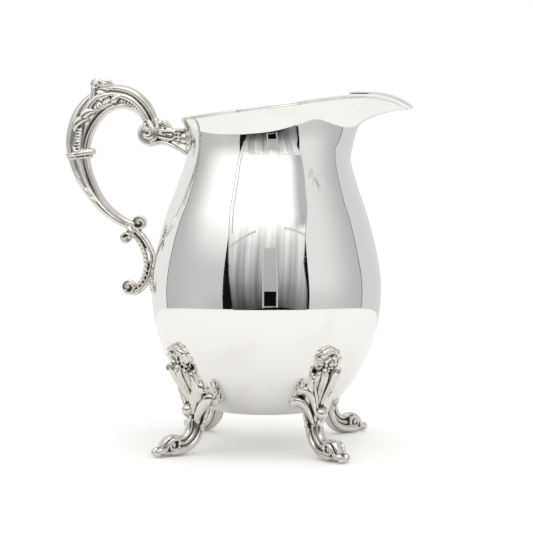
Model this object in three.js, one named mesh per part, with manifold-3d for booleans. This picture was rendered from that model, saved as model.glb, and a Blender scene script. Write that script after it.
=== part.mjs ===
// A footed silver-plate water pitcher: a raised pear-shaped body with a pouring spout, a cast scroll handle
// and four cast legs. Millimetres, +Z up, +X towards the spout. The origin is on the table, at the centre of
// the whole outline seen from above, so the body's own axis stands a little towards the spout.
import * as THREE from "three";
import { mergeVertices } from "three/addons/utils/BufferGeometryUtils.js";
import Module from "manifold-3d";

const wasm = await Module();
wasm.setup();

// ---------------------------------------------------------------------------------------------------------
// Driving dimensions
// ---------------------------------------------------------------------------------------------------------
const wall = 1.2; // sheet thickness of the body
const seamGap = 0.3; // room that solder takes between two pieces
const baseHeight = 26.8; // underside of the body above the table
const baseRadius = 33; // edge of the flat base disc
const bellyRadius = 74.3; // widest part of the body
const bellyHeight = 100;
const neckRadius = 51.7; // narrowest part of the body
const neckHeight = 200.9;
const neckLean = 2.3; // how far the neck sits forward of the belly, towards the spout
const mouthRadius = 55.3; // rim of the mouth at the back
const mouthWiden = 3.4; // how much wider than that the mouth is in front, the spout apart
const mouthHeight = 221.5; // wall edge above the table, at the body's axis
const mouthSlope = 0.135; // rise of the wall edge for each millimetre towards the spout
const spoutReach = 92.2; // tip of the spout's wall from the body's axis
const spoutSpread = 0.4; // how wide the spout is in plan, as an angle in radians
const spoutDipStart = 45; // where the wall edge starts to dip down to the tip
const spoutDip = 12; // how far it has dipped at the tip
const lipAngle = 0.5; // where the lip band stops each side of the spout, in radians
const rimWireRadius = 0.8;
const lipBandHeight = 3.6;
const lipBandThickness = 2.6;
const handleReach = 136; // back of the grip from the body's axis
const handleTop = 241.5; // thumb rest above the table
const gripDepth = 11; // thickness of the grip seen from behind
const frontLegAngle = 48; // degrees each side of the spout
const rearLegAngle = 137;
const legReach = 88; // toe from the body's axis
const legHeight = 75; // top of the rosette above the table
const legWidth = 9; // thickness of the shaft of a leg, seen from its toe
const rosetteRadius = 11;
const shieldThickness = 4.2; // the leafy upper part of a leg, which lies on the body
const plateThickness = 2.6; // the plates that join the handle to the body

// ---------------------------------------------------------------------------------------------------------
// Curves
// ---------------------------------------------------------------------------------------------------------

// A smooth curve through every given point, whose bend changes without a jump: the control points of a cubic
// B-spline are found by relaxation. The curve takes t from 0 to 1.
function smoothThrough(points) {
  const controls = points.map((p) => p.clone());
  const last = points.length - 1;
  for (let pass = 0; pass < 40; pass++)
    for (let i = 1; i < last; i++)
      controls[i]
        .copy(points[i])
        .multiplyScalar(6)
        .sub(controls[i - 1])
        .sub(controls[i + 1])
        .divideScalar(4);
  const before = controls[0].clone().multiplyScalar(2).sub(controls[1]);
  const after = controls[last].clone().multiplyScalar(2).sub(controls[last - 1]);
  const all = [before, ...controls, after];
  return (t) => {
    const u = THREE.MathUtils.clamp(t, 0, 1) * last;
    const i = Math.min(Math.floor(u), last - 1);
    const f = u - i;
    const weights = [(1 - f) ** 3, 3 * f ** 3 - 6 * f ** 2 + 4, -3 * f ** 3 + 3 * f ** 2 + 3 * f + 1, f ** 3];
    const sum = controls[0].clone().multiplyScalar(0);
    weights.forEach((w, k) => sum.addScaledVector(all[i + k], w / 6));
    return sum;
  };
}

const v2 = (x, z) => new THREE.Vector2(x, z);
const v3 = (x, y, z) => new THREE.Vector3(x, y, z);
const smoothStep = (x, from, to) => THREE.MathUtils.smoothstep(x, from, to);

// ---------------------------------------------------------------------------------------------------------
// Closed meshes
// ---------------------------------------------------------------------------------------------------------

// Joins rings of equally many points into one closed body. The rings are closed loops; if loop is true the
// last ring also joins the first, and otherwise a fan of triangles closes each end.
function closedBody(rings, loop = false) {
  const n = rings[0].length;
  const positions = rings.flat().flatMap((p) => [p.x, p.y, p.z]);
  const index = [];
  const count = rings.length;
  for (let i = 0; i < (loop ? count : count - 1); i++)
    for (let j = 0; j < n; j++) {
      const a = i * n + j;
      const b = i * n + ((j + 1) % n);
      const c = ((i + 1) % count) * n + j;
      const d = ((i + 1) % count) * n + ((j + 1) % n);
      index.push(a, b, d, a, d, c);
    }
  if (!loop)
    for (const [ring, start, turn] of [
      [rings[0], 0, 1],
      [rings[count - 1], (count - 1) * n, 0],
    ]) {
      const centre = ring.reduce((s, p) => s.add(p), new THREE.Vector3()).divideScalar(n);
      const hub = positions.length / 3;
      positions.push(centre.x, centre.y, centre.z);
      for (let j = 0; j < n; j++) {
        const a = start + j;
        const b = start + ((j + 1) % n);
        index.push(...(turn ? [b, a, hub] : [a, b, hub]));
      }
    }
  const geometry = new THREE.BufferGeometry();
  geometry.setAttribute("position", new THREE.Float32BufferAttribute(positions, 3));
  geometry.setIndex(index);
  return geometry;
}

// A three.js geometry as a manifold-3d solid, whichever way round its faces are.
function solid(geometry) {
  const g = geometry.clone();
  g.deleteAttribute("normal");
  g.deleteAttribute("uv");
  const merged = mergeVertices(g, 1e-4);
  const triVerts = new Uint32Array(merged.index.array);
  const vertProperties = new Float32Array(merged.attributes.position.array);
  const make = () => new wasm.Manifold(new wasm.Mesh({ numProp: 3, vertProperties, triVerts }));
  const made = make();
  if (made.volume() > 0)
    return made;
  for (let i = 0; i < triVerts.length; i += 3)
    [triVerts[i], triVerts[i + 1]] = [triVerts[i + 1], triVerts[i]];
  return make();
}

function geometryOf(manifold) {
  const mesh = manifold.getMesh();
  const geometry = new THREE.BufferGeometry();
  geometry.setAttribute("position", new THREE.BufferAttribute(new Float32Array(mesh.vertProperties), 3));
  geometry.setIndex(new THREE.BufferAttribute(new Uint32Array(mesh.triVerts), 1));
  return geometry;
}

const union = (...solids) => solids.reduce((a, b) => a.add(b));

// A bar whose middle follows a path in the XZ plane. across(t) is half its size in that plane, and deep(t)
// half its size along Y. The path and both sizes take t from 0 to 1. Both ends run on by longer.
function barAlong(path, across, deep, steps, sides = 12, longer = 0) {
  const rings = [];
  for (let i = 0; i <= steps; i++) {
    const t = i / steps;
    const ahead = path(Math.min(1, t + 0.004)).sub(path(Math.max(0, t - 0.004))).normalize();
    const runOn = longer * ((i === steps) - (i === 0));
    const here = path(t).addScaledVector(ahead, runOn);
    const ring = [];
    for (let k = 0; k < sides; k++) {
      const a = (2 * Math.PI * k) / sides;
      const out = Math.cos(a) * across(t);
      ring.push(new THREE.Vector3(here.x - ahead.y * out, Math.sin(a) * deep(t), here.y + ahead.x * out));
    }
    rings.push(ring);
  }
  return closedBody(rings);
}

// A size that follows a smooth curve through values spread evenly along a bar.
function sizes(...values) {
  const curve = smoothThrough(values.map((v, i) => v2(i, v)));
  return (t) => curve(t).y;
}

const ball = (x, y, z, rx, ry = rx, rz = rx) =>
  new THREE.SphereGeometry(1, 12, 8).scale(rx, ry, rz).translate(x, y, z);

// A short round bar along Y, which is what a rolled-up scroll is.
const roll = (x, z, radius, length) =>
  new THREE.CylinderGeometry(radius, radius, length, 12).translate(x, 0, z);

// The flat outline through the given points of the YZ plane, given for +Y and mirrored, made thick along X.
function shieldPrism(halfOutline, fromX, toX) {
  const right = smoothThrough(halfOutline);
  const steps = 12;
  const side = Array.from({ length: steps + 1 }, (_, i) => right(i / steps));
  const left = side.slice(1, -1).reverse().map((p) => v2(-p.x, p.y));
  const shape = new THREE.Shape([...side, ...left]);
  const prism = new THREE.ExtrudeGeometry(shape, { depth: toX - fromX, bevelEnabled: false, steps: 1 });
  // The shape's own x, y and thickness become the world's y, z and x.
  const turn = new THREE.Matrix4().set(0, 0, 1, fromX, 1, 0, 0, 0, 0, 1, 0, 0, 0, 0, 0, 1);
  return prism.applyMatrix4(turn);
}

// ---------------------------------------------------------------------------------------------------------
// The body: every upright line on it is one smooth curve. Round the belly the lines are all alike; above it
// they narrow to the neck and open out to the mouth, most of all at the spout.
// ---------------------------------------------------------------------------------------------------------
const bellyProfile = [
  v2(baseRadius, baseHeight),
  v2(baseRadius + 9.4, baseHeight + 1.6),
  v2(baseRadius + 20.4, baseHeight + 13),
  v2(baseRadius + 30.2, baseHeight + 28.7),
  v2(bellyRadius - 3.6, bellyHeight - 25),
  v2(bellyRadius, bellyHeight),
  v2(bellyRadius - 2.6, bellyHeight + 26),
];
// Six places up to the neck: how much wider and how much lower they are than the neck. Under the spout the
// wall is at its narrowest lower down.
const backNeck = [
  v2(14.2, 50.9),
  v2(9.9, 37.9),
  v2(5.87, 25.9),
  v2(2.64, 15.4),
  v2(0.65, 6.9),
  v2(0, 0),
];
const keelNeck = [
  v2(13, 50.9),
  v2(8, 37.9),
  v2(3.9, 27),
  v2(1.4, 19.5),
  v2(0.3, 14.7),
  v2(0, 10.4),
];
// Four places above the neck: the share of the way out to the mouth's edge, the share of the way up to the
// mouth, and the share of the mouth's slope. The flare starts level, and takes up the slope near the edge.
const backFlare = [v3(0.085, 0.25, 0.06), v3(0.323, 0.5, 0.25), v3(0.645, 0.75, 0.56), v3(1, 1, 1)];
const keelFlare = [v3(0.06, 0.3, 0.3), v3(0.2, 0.58, 0.58), v3(0.58, 0.76, 0.76), v3(1, 1, 1)];

// How much of the spout there is in a direction: 1 straight ahead, and nearly nothing at the sides and back.
const spoutShare = (angle) => Math.exp(-((angle / spoutSpread) ** 2));

// The edge of the wall at the mouth, in the direction angle, from -PI to PI with 0 at the spout.
function mouthEdge(angle) {
  const oval = mouthRadius + (mouthWiden * (1 + Math.cos(angle))) / 2;
  const r = oval + (spoutReach - oval) * spoutShare(angle);
  const x = r * Math.cos(angle);
  const dip = spoutDip * (Math.max(0, x - spoutDipStart) / (spoutReach - spoutDipStart)) ** 3;
  return new THREE.Vector3(x, r * Math.sin(angle), mouthHeight + mouthSlope * x - dip);
}

function uprightLine(angle) {
  const ring = (r, z) => {
    const lean = neckLean * smoothStep(z, bellyHeight + 20, neckHeight);
    return new THREE.Vector3(lean + r * Math.cos(angle), r * Math.sin(angle), z);
  };
  const belly = bellyProfile.map((p) => ring(p.x, p.y));
  const narrowing = backNeck.map((back, i) => {
    const [wider, lower] = back.clone().lerp(keelNeck[i], spoutShare(angle)).toArray();
    return ring(neckRadius + wider, neckHeight - lower);
  });
  const neck = narrowing[narrowing.length - 1];
  const edge = mouthEdge(angle);
  const above = backFlare.map((back, i) => {
    const f = back.clone().lerp(keelFlare[i], spoutShare(angle));
    return new THREE.Vector3(
      THREE.MathUtils.lerp(neck.x, edge.x, f.x),
      THREE.MathUtils.lerp(neck.y, edge.y, f.x),
      THREE.MathUtils.lerp(neck.z, mouthHeight, f.y) + (edge.z - mouthHeight) * f.z,
    );
  });
  return smoothThrough([...belly, ...narrowing, ...above]);
}

// The surface in one direction: where it is at t, which way is up along it, and which way is out of it.
function surfaceLine(angle) {
  const [line, before, after] = [0, -0.01, 0.01].map((step) => uprightLine(angle + step));
  return (t) => {
    const up = line(Math.min(1, t + 0.002)).sub(line(Math.max(0, t - 0.002))).normalize();
    const out = after(t).sub(before(t)).cross(up).normalize();
    return { place: line(t), up, out };
  };
}

// Directions round the body, closer together at the spout, where the wall bends most. Both ends of the lip
// band and of the rim wire are among them, so these pieces and the wall have their corners in one place.
const bodySegments = 48;
const bodySteps = 20;
const crowding = 0.55; // 0 spreads the directions evenly, and 1 brings them all to the spout
const wireEnd = lipAngle + 0.012;
const spread = Array.from({ length: bodySegments }, (_, i) => {
  const t = (2 * Math.PI * i) / bodySegments - Math.PI;
  return t - crowding * Math.sin(t);
});
const directions = [...spread, lipAngle, -lipAngle, wireEnd, -wireEnd].sort((a, b) => a - b);
const bodyLines = directions.map(surfaceLine);

// The outside of the body moved outwards by grow, as rings from the base to the mouth.
const bodyRings = (grow) =>
  Array.from({ length: bodySteps + 1 }, (_, i) =>
    bodyLines.map((line) => {
      const { place, out } = line(i / bodySteps);
      return place.addScaledVector(out, grow);
    }),
  );

// The room that the body takes, filled in, with grow more all round. Pieces that lie on it are cut by this.
const bodyBlock = (grow) => solid(closedBody(bodyRings(grow)));
const bodyWithGap = bodyBlock(seamGap);

const bodyShell = () => solid(closedBody([...bodyRings(0), ...bodyRings(-wall).reverse()], true));

function baseDisc() {
  const radius = baseRadius - seamGap;
  const edge = (z) => directions.map((a) => v3(radius * Math.cos(a), radius * Math.sin(a), z));
  return solid(closedBody([edge(baseHeight), edge(baseHeight + wall)]));
}

// A strip that stands on the wall's edge over the given directions. outline(a) is how far out from the middle
// of the wall, and how far up from its edge, the strip's outline is at a turn of a.
function edgeStrip(angles, outline, sides) {
  const rings = angles.map((angle) => {
    const { place, out } = surfaceLine(angle)(1);
    const along = mouthEdge(angle + 0.01).sub(mouthEdge(angle - 0.01));
    const up = out.clone().cross(along).normalize();
    return Array.from({ length: sides }, (_, k) => {
      const [o, u] = outline((2 * Math.PI * k) / sides);
      return place
        .clone()
        .addScaledVector(out, o - wall / 2)
        .addScaledVector(up, u + seamGap);
    });
  });
  return solid(closedBody(rings));
}

const lipAngles = directions.filter((a) => Math.abs(a) <= lipAngle);
const wireAngles = [
  ...directions.filter((a) => a >= wireEnd),
  ...directions.filter((a) => a <= -wireEnd),
];

const rimWire = () =>
  edgeStrip(wireAngles, (a) => [rimWireRadius * Math.cos(a), rimWireRadius * (1 + Math.sin(a))], 8);

const lipBand = () =>
  edgeStrip(
    lipAngles,
    (a) => [(lipBandThickness / 2) * Math.cos(a), (lipBandHeight / 2) * (1 + Math.sin(a))],
    10,
  );

// ---------------------------------------------------------------------------------------------------------
// A leg. It is laid out with X away from the body's axis and the table at Z 0, then turned to its direction.
// ---------------------------------------------------------------------------------------------------------

// The belly at a height: how far out it is, and how far it leans outwards there.
function bellyAt(height) {
  const line = smoothThrough(bellyProfile);
  let t = 0;
  while (line(t).y < height) t += 0.002;
  const ahead = line(t + 0.01).sub(line(t - 0.01));
  return { radius: line(t).x, lean: Math.atan2(ahead.x, ahead.y) };
}

function leg(degrees) {
  const knee = baseHeight + 3;
  const rosetteHeight = legHeight - rosetteRadius + 1;
  const seat = bellyAt(rosetteHeight);
  const halfWidth = legWidth / 2;
  const toe = legReach - 2.9;
  const shaft = barAlong(
    smoothThrough([
      v2(seat.radius + 1.5, rosetteHeight - 1),
      v2(bellyAt(knee + 22).radius + 3.5, knee + 22),
      v2(bellyAt(knee + 12).radius + 2.5, knee + 12),
      v2(54, knee + 3),
      v2(53.6, knee - 5),
      v2(55.4, knee - 15),
      v2(61.5, 7.2),
      v2(68.5, 4.9),
      v2(toe - 8.5, 4.9),
      v2(toe, 2.6),
    ]),
    sizes(6, 6.2, 6, 6.2, 7, 5.8, 5.9, 6, 5.9, 3.2),
    sizes(6, 6.5, 6.5, 6, halfWidth + 1, halfWidth, halfWidth, halfWidth, halfWidth + 1, halfWidth),
    18,
    10,
  );
  // The leafy part lies on the body: round at the rosette, waisted under it, and winged above the knee.
  const leaf = solid(
    shieldPrism(
      [
        v2(0, legHeight),
        v2(rosetteRadius - 1, legHeight - 5),
        v2(rosetteRadius, rosetteHeight),
        v2(rosetteRadius - 3, rosetteHeight - 12),
        v2(rosetteRadius, knee + 12),
        v2(rosetteRadius + 1, knee + 6),
        v2(5, knee + 1),
        v2(0, knee),
      ],
      48,
      legReach,
    ),
  );
  const rosette = ball(0, 0, 0, 5.5, rosetteRadius, rosetteRadius)
    .rotateY(seat.lean)
    .translate(seat.radius + 3, 0, rosetteHeight);
  const pieces = [
    solid(shaft),
    solid(rosette),
    solid(ball(59.5, 0, knee - 1, 3.2)),
    solid(roll(toe - 8.8, 7, 5.9, legWidth + 2)),
    solid(roll(toe, 2.9, 2.9, legWidth)),
  ];
  const turned = pieces.map((piece) => piece.rotate([0, 0, degrees]));
  const leafOnBody = leaf.rotate([0, 0, degrees]).intersect(bodyBlock(shieldThickness));
  return union(...turned, leafOnBody).subtract(bodyWithGap).trimByPlane([0, 0, 1], 0);
}

// ---------------------------------------------------------------------------------------------------------
// The handle, in the XZ plane with the body's axis at X 0. The grip is laid out on a grid: across from the
// belly at 0 to the back of the handle at 1, and up from the foot of the grip at 0 to the thumb rest at 1.
// ---------------------------------------------------------------------------------------------------------
const gripFoot = bellyHeight + 45;
const onGrid = (across, up) =>
  v2(-THREE.MathUtils.lerp(bellyRadius, handleReach, across), THREE.MathUtils.lerp(gripFoot, handleTop, up));

const gripPath = smoothThrough([
  onGrid(0.076, 0.632),
  onGrid(0.065, 0.725),
  onGrid(0.157, 0.817),
  onGrid(0.384, 0.866),
  onGrid(0.611, 0.842),
  onGrid(0.783, 0.746),
  onGrid(0.869, 0.606),
  onGrid(0.869, 0.456),
  onGrid(0.776, 0.286),
  onGrid(0.603, 0.124),
  onGrid(0.392, 0.013),
  onGrid(0.279, -0.016),
]);
const gripAcross = sizes(5.5, 6.4, 7.3, 8, 8.4, 8.2, 7.6, 6.6, 6, 5.8, 5, 4.2);
const gripDeep = sizes(0.85, 0.95, 1, 1, 1, 1, 1, 1, 0.95, 0.9, 0.85, 0.78);

const volute = onGrid(0.078, 0.618);

// The grip with grow more all round: the bar and the rolled-up end under its front.
function gripBlock(grow) {
  const across = (t) => gripAcross(t) + grow;
  const deep = (t) => (gripDeep(t) * gripDepth) / 2 + grow;
  const rolledEnd = roll(volute.x, volute.y, 6.2 + grow, gripDepth - 1.5 + 2 * grow);
  return union(solid(barAlong(gripPath, across, deep, 36, 12, grow)), solid(rolledEnd));
}

const gripWithGap = gripBlock(seamGap);

function thumbLeaf() {
  const curl = onGrid(0.65, 0.956);
  const leaf = barAlong(
    smoothThrough([
      onGrid(0.33, 0.945),
      onGrid(0.47, 0.962),
      curl,
      onGrid(0.72, 0.91),
      onGrid(0.81, 0.84),
    ]),
    sizes(2, 3, 3.8, 3, 1.6),
    sizes(3, 4.5, 5, 4, 2.5),
    20,
  );
  return union(solid(leaf), solid(roll(curl.x, curl.y, 4.2, gripDepth))).subtract(gripWithGap);
}

// A ring round the middle of the grip.
function collar() {
  const [from, to] = [0.602, 0.668];
  const part = (t) => THREE.MathUtils.lerp(from, to, t);
  const block = barAlong(
    (t) => gripPath(part(t)),
    (t) => gripAcross(part(t)) + 1.5,
    (t) => (gripDeep(part(t)) * gripDepth) / 2 + 1.5,
    5,
    14,
  );
  return solid(block).subtract(gripWithGap);
}

const onBelly = (out, up) => v2(-bellyRadius - out, bellyHeight + up);

// The S-shaped scroll between the foot of the grip and the belly.
function lowerScroll() {
  const stem = barAlong(
    smoothThrough([
      onBelly(14.5, 42),
      onBelly(12, 35.5),
      onBelly(7.5, 29),
      onBelly(4.8, 21),
      onBelly(5.2, 12),
      onBelly(9.7, 3.5),
      onBelly(17.5, 1),
    ]),
    sizes(4.4, 4.6, 4.8, 4.6, 4.6, 4.4, 4),
    sizes(4, 4.2, 4.4, 4.4, 4.2, 4, 4),
    24,
  );
  const knob = onBelly(10.8, 46.4);
  const curl = onBelly(21.5, 35);
  const foot = onBelly(18.9, 1.7);
  const bridge = barAlong((t) => knob.clone().lerp(curl, t), () => 3.6, () => 3.8, 4);
  const scroll = union(
    solid(stem),
    solid(bridge),
    solid(ball(knob.x, 0, knob.y, 4.3)),
    solid(roll(curl.x, curl.y, 3.2, 8)),
    solid(roll(foot.x, foot.y, 4.6, 9)),
  );
  return scroll.subtract(gripWithGap).subtract(bodyAndPlate);
}

// A plate that lies on the body at the back, between two heights.
function platePrism(lowest, highest, halfWidth) {
  const middle = (lowest + highest) / 2;
  const half = (highest - lowest) / 2;
  return solid(
    shieldPrism(
      [
        v2(0, highest),
        v2(halfWidth * 0.8, middle + half * 0.75),
        v2(halfWidth, middle),
        v2(halfWidth * 0.8, middle - half * 0.75),
        v2(0, lowest),
      ],
      -handleReach,
      -neckRadius / 2,
    ),
  );
}

const plateOnBody = (prism) => prism.intersect(bodyBlock(plateThickness)).subtract(bodyWithGap);
const bodyAndPlate = bodyBlock(plateThickness + seamGap);

// The bracket from the grip's rolled-up end to the neck, with its front face on the neck plate.
function bracket() {
  const bar = barAlong(
    smoothThrough([
      v2(volute.x, volute.y),
      v2(-neckRadius - 14, volute.y - 1.5),
      v2(-neckRadius + 6, volute.y - 4),
    ]),
    sizes(7, 6.2, 6.8),
    sizes(3.8, 3.8, 4.6),
    12,
  );
  return solid(bar).subtract(gripWithGap).subtract(bodyAndPlate);
}

// ---------------------------------------------------------------------------------------------------------
// The assembly
// ---------------------------------------------------------------------------------------------------------
const silver = (color, roughness) => new THREE.MeshStandardMaterial({ color, roughness, metalness: 1 });
const polishedSilver = () => silver(0xe6e4df, 0.06);
const castSilver = () => silver(0xd2cec5, 0.22);

const pitcher = new THREE.Group();
pitcher.name = "water_pitcher";

function add(name, piece, material) {
  const geometry = geometryOf(piece);
  geometry.computeVertexNormals();
  const mesh = new THREE.Mesh(geometry, material);
  mesh.name = name;
  pitcher.add(mesh);
}

add("body_shell", bodyShell(), polishedSilver());
add("base_disc", baseDisc(), polishedSilver());
add("rim_wire", rimWire(), polishedSilver());
add("spout_lip_band", lipBand(), polishedSilver());
add("leg_front_left", leg(frontLegAngle), castSilver());
add("leg_front_right", leg(-frontLegAngle), castSilver());
add("leg_rear_left", leg(rearLegAngle), castSilver());
add("leg_rear_right", leg(-rearLegAngle), castSilver());
add("handle_grip", gripBlock(0), castSilver());
add("handle_thumb_leaf", thumbLeaf(), castSilver());
add("handle_collar", collar(), castSilver());
add("handle_lower_scroll", lowerScroll(), castSilver());
add("upper_handle_bracket", bracket(), castSilver());
add("upper_handle_plate", plateOnBody(platePrism(volute.y - 16, volute.y + 8.5, 9)), castSilver());
add("lower_handle_plate", plateOnBody(platePrism(bellyHeight - 4, bellyHeight + 26, 7.5)), castSilver());

// The outline of the whole pitcher is centred on the origin in X.
const outline = new THREE.Box3().setFromObject(pitcher);
pitcher.position.x = -(outline.min.x + outline.max.x) / 2;

export default pitcher;
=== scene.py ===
# %% [markdown]
# # A footed silver water pitcher
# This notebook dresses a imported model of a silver-plate water pitcher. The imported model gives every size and
# place: here only the visible surfaces are made. The real pitcher is raised from sheet and stands on four
# cast legs, with a cast scroll handle soldered to its back, so it is made here in the same three ways: a
# smooth raised body, drawn edge mouldings, and sculpted castings with dark recesses.

# %% Load the frame
import bmesh
import bpy
import math
import numpy as np
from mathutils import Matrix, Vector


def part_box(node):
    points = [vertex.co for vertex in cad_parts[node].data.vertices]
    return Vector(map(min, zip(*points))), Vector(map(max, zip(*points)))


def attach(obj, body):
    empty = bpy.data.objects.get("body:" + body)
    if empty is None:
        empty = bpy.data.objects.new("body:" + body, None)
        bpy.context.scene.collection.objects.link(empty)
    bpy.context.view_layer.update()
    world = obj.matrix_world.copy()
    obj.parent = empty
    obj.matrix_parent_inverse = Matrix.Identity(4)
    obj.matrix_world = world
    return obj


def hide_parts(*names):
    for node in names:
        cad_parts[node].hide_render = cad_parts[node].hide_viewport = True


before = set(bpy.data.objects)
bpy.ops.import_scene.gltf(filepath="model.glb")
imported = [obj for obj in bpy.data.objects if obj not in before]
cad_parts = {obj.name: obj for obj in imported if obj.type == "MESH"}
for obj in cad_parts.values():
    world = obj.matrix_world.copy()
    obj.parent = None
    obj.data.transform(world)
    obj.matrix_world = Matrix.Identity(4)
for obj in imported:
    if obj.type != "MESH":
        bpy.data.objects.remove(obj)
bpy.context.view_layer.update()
MM = 0.001

# %% [markdown]
# ## Sizes
# A maker measures from the body's own axis. The base disc is round, so its middle gives that axis, and the
# shell's box gives the width of the belly and the reach of the spout. Sizes that no box shows, such as the
# neck's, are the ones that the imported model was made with.

# %% Measure the frame
base_low, base_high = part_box("base_disc")
shell_low, shell_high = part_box("body_shell")
axis_x = (base_low.x + base_high.x) / 2
base_height = base_low.z
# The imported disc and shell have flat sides, so the round ones here are a little larger.
base_radius = (base_high.x - base_low.x) / 2 + 0.3 * MM
base_hollow = 1.6 * MM
belly_radius = (shell_high.y - shell_low.y) / 2 + 0.1 * MM
belly_height = 100 * MM
neck_radius = 51.7 * MM
neck_height = 200.9 * MM
neck_lean = 2.3 * MM
lean_start = belly_height + 20 * MM
mouth_radius = 55.3 * MM
mouth_widen = 3.4 * MM
mouth_height = 221.5 * MM
mouth_slope = 0.135
spout_reach = shell_high.x - axis_x
spout_spread = 0.4
spout_dip = 12 * MM
spout_dip_start = 45 * MM
sheet = 1.2 * MM
print("axis at x =", round(axis_x / MM, 2), "mm, belly radius", round(belly_radius / MM, 1), "mm")

# %% [markdown]
# ## Helpers for curves and meshes
# A mirror shows every jump in how a surface bends, so all outlines pass through one kind of curve: a cubic
# spline whose bend changes evenly. Its slopes come from one small set of equations, solved at once.

# %% A smooth curve through points
def smooth_through(points, count):
    """count points of an even-bending curve through the given points, which may be plain numbers."""
    p = np.array(points, float)
    if p.ndim == 1:
        p = p[:, None]
    n = len(p)
    matrix = np.zeros((n, n))
    right = np.zeros_like(p)
    matrix[0, 0] = matrix[-1, -1] = 1
    for i in range(1, n - 1):
        matrix[i, i - 1 : i + 2] = (1, 4, 1)
        right[i] = 6 * (p[i - 1] - 2 * p[i] + p[i + 1])
    bend = np.linalg.solve(matrix, right)
    u = np.linspace(0, n - 1, count)
    i = np.minimum(u.astype(int), n - 2)
    f = (u - i)[:, None]
    g = 1 - f
    curve = g * p[i] + f * p[i + 1] + ((g**3 - g) * bend[i] + (f**3 - f) * bend[i + 1]) / 6
    return curve[:, 0] if np.ndim(points[0]) == 0 else curve


def unit(rows):
    """Each row as a direction, one long."""
    return rows / np.linalg.norm(rows, axis=1)[:, None]


def smooth_step(x, start, end):
    """0 before start, 1 after end, and smooth between them. start may be the larger."""
    t = np.clip((x - start) / (end - start), 0, 1)
    return t * t * (3 - 2 * t)


# %% Meshes from arrays
def new_object(name, vertices, faces, smooth=True):
    mesh = bpy.data.meshes.new(name)
    mesh.from_pydata([tuple(v) for v in vertices], [], [tuple(f) for f in faces])
    mesh.validate()
    if smooth:
        mesh.shade_smooth()
    made = bpy.data.objects.new(name, mesh)
    bpy.context.scene.collection.objects.link(made)
    return made


def new_line(name, places):
    """A string of edges through places."""
    line = new_object(name, places, [])
    line.data.edges.add(len(places) - 1)
    line.data.edges.foreach_set("vertices", np.repeat(np.arange(len(places)), 2)[1:-1])
    return line


def settled(obj, name):
    """A plain mesh of what obj's modifiers make, as a new object at the origin. obj is removed."""
    bpy.context.view_layer.update()
    evaluated = obj.evaluated_get(bpy.context.evaluated_depsgraph_get())
    mesh = bpy.data.meshes.new_from_object(evaluated)
    mesh.name = name
    bpy.data.objects.remove(obj)
    made = bpy.data.objects.new(name, mesh)
    bpy.context.scene.collection.objects.link(made)
    return made


def coordinates(mesh):
    found = np.empty(len(mesh.vertices) * 3)
    mesh.vertices.foreach_get("co", found)
    return found.reshape(-1, 3)


def set_coordinates(mesh, places):
    mesh.vertices.foreach_set("co", np.ascontiguousarray(places, dtype=np.float32).ravel())
    mesh.update()


# %% [markdown]
# ## Helpers for Geometry Nodes
# A tree is easier to read when each node is one line. `add` makes a node, sets its fields and joins its
# inputs, and `new_tree` gives the tree its named inputs. A modifier finds an input by the socket's
# identifier, so `run_tree` looks the identifier up by name before the object is first evaluated.

# %% Build and run a tree
def new_tree(name, **inputs):
    tree = bpy.data.node_groups.new(name, "GeometryNodeTree")
    tree.interface.new_socket("Geometry", in_out="INPUT", socket_type="NodeSocketGeometry")
    for label, (kind, value) in inputs.items():
        socket = tree.interface.new_socket(
            label.replace("_", " "), in_out="INPUT", socket_type="NodeSocket" + kind
        )
        if value is not None:
            socket.default_value = value
    tree.interface.new_socket("Geometry", in_out="OUTPUT", socket_type="NodeSocketGeometry")
    return tree, tree.nodes.new("NodeGroupInput").outputs, tree.nodes.new("NodeGroupOutput").inputs


def add(tree, kind, inputs=(), **fields):
    """One node. inputs maps a socket's name or number to a value, or to an output to join it to."""
    node = tree.nodes.new(kind)
    for field, value in fields.items():
        setattr(node, field, value)
    for key, value in dict(inputs).items():
        if isinstance(value, bpy.types.NodeSocket):
            tree.links.new(value, node.inputs[key])
        else:
            node.inputs[key].default_value = value
    return node


def maths(tree, operation, a, b=None):
    """One Math node in any kind of tree, as its output."""
    inputs = {0: a} if b is None else {0: a, 1: b}
    return add(tree, "ShaderNodeMath", inputs, operation=operation).outputs[0]


def end_tree(tree, geometry, result):
    """The last nodes of every tree here: instances made real, and one material for all of it."""
    whole = add(tree, "GeometryNodeRealizeInstances", {"Geometry": geometry})
    done = add(tree, "GeometryNodeSetMaterial", {"Geometry": whole.outputs[0]})
    tree.links.new(done.outputs[0], result[0])
    return tree


def run_tree(obj, tree, **values):
    """A plain mesh of what the tree makes of obj, with its named inputs set. obj is removed."""
    modifier = obj.modifiers.new("shape", "NODES")
    modifier.node_group = tree
    for item in tree.interface.items_tree:
        label = item.name.replace(" ", "_")
        if item.item_type == "SOCKET" and item.in_out == "INPUT" and label in values:
            modifier[item.identifier] = values[label]
    return settled(obj, obj.name)

# %% [markdown]
# ## The raised body
# The body is one sheet of silver plate, hammered and spun to a pear shape, then drawn out at the front into
# a spout. It could be a lathe with a sculpted lip, but the two would not flow together as sheet does.
# Instead it follows one rule: every upright line is a mix of two lines, the one at the back and the one
# under the spout, and the share of the spout fades smoothly with direction. Geometry Nodes hold the rule: a
# flat grid is wrapped, each of its rows reading one point of the two lines.

# %% The back line and the spout line
BELLY_LINE = [
    (base_radius, base_height),
    (base_radius + 9.4 * MM, base_height + 1.6 * MM),
    (base_radius + 20.4 * MM, base_height + 13 * MM),
    (base_radius + 30.2 * MM, base_height + 28.7 * MM),
    (belly_radius - 3.6 * MM, belly_height - 25 * MM),
    (belly_radius, belly_height),
    (belly_radius - 2.6 * MM, belly_height + 26 * MM),
]
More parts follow.
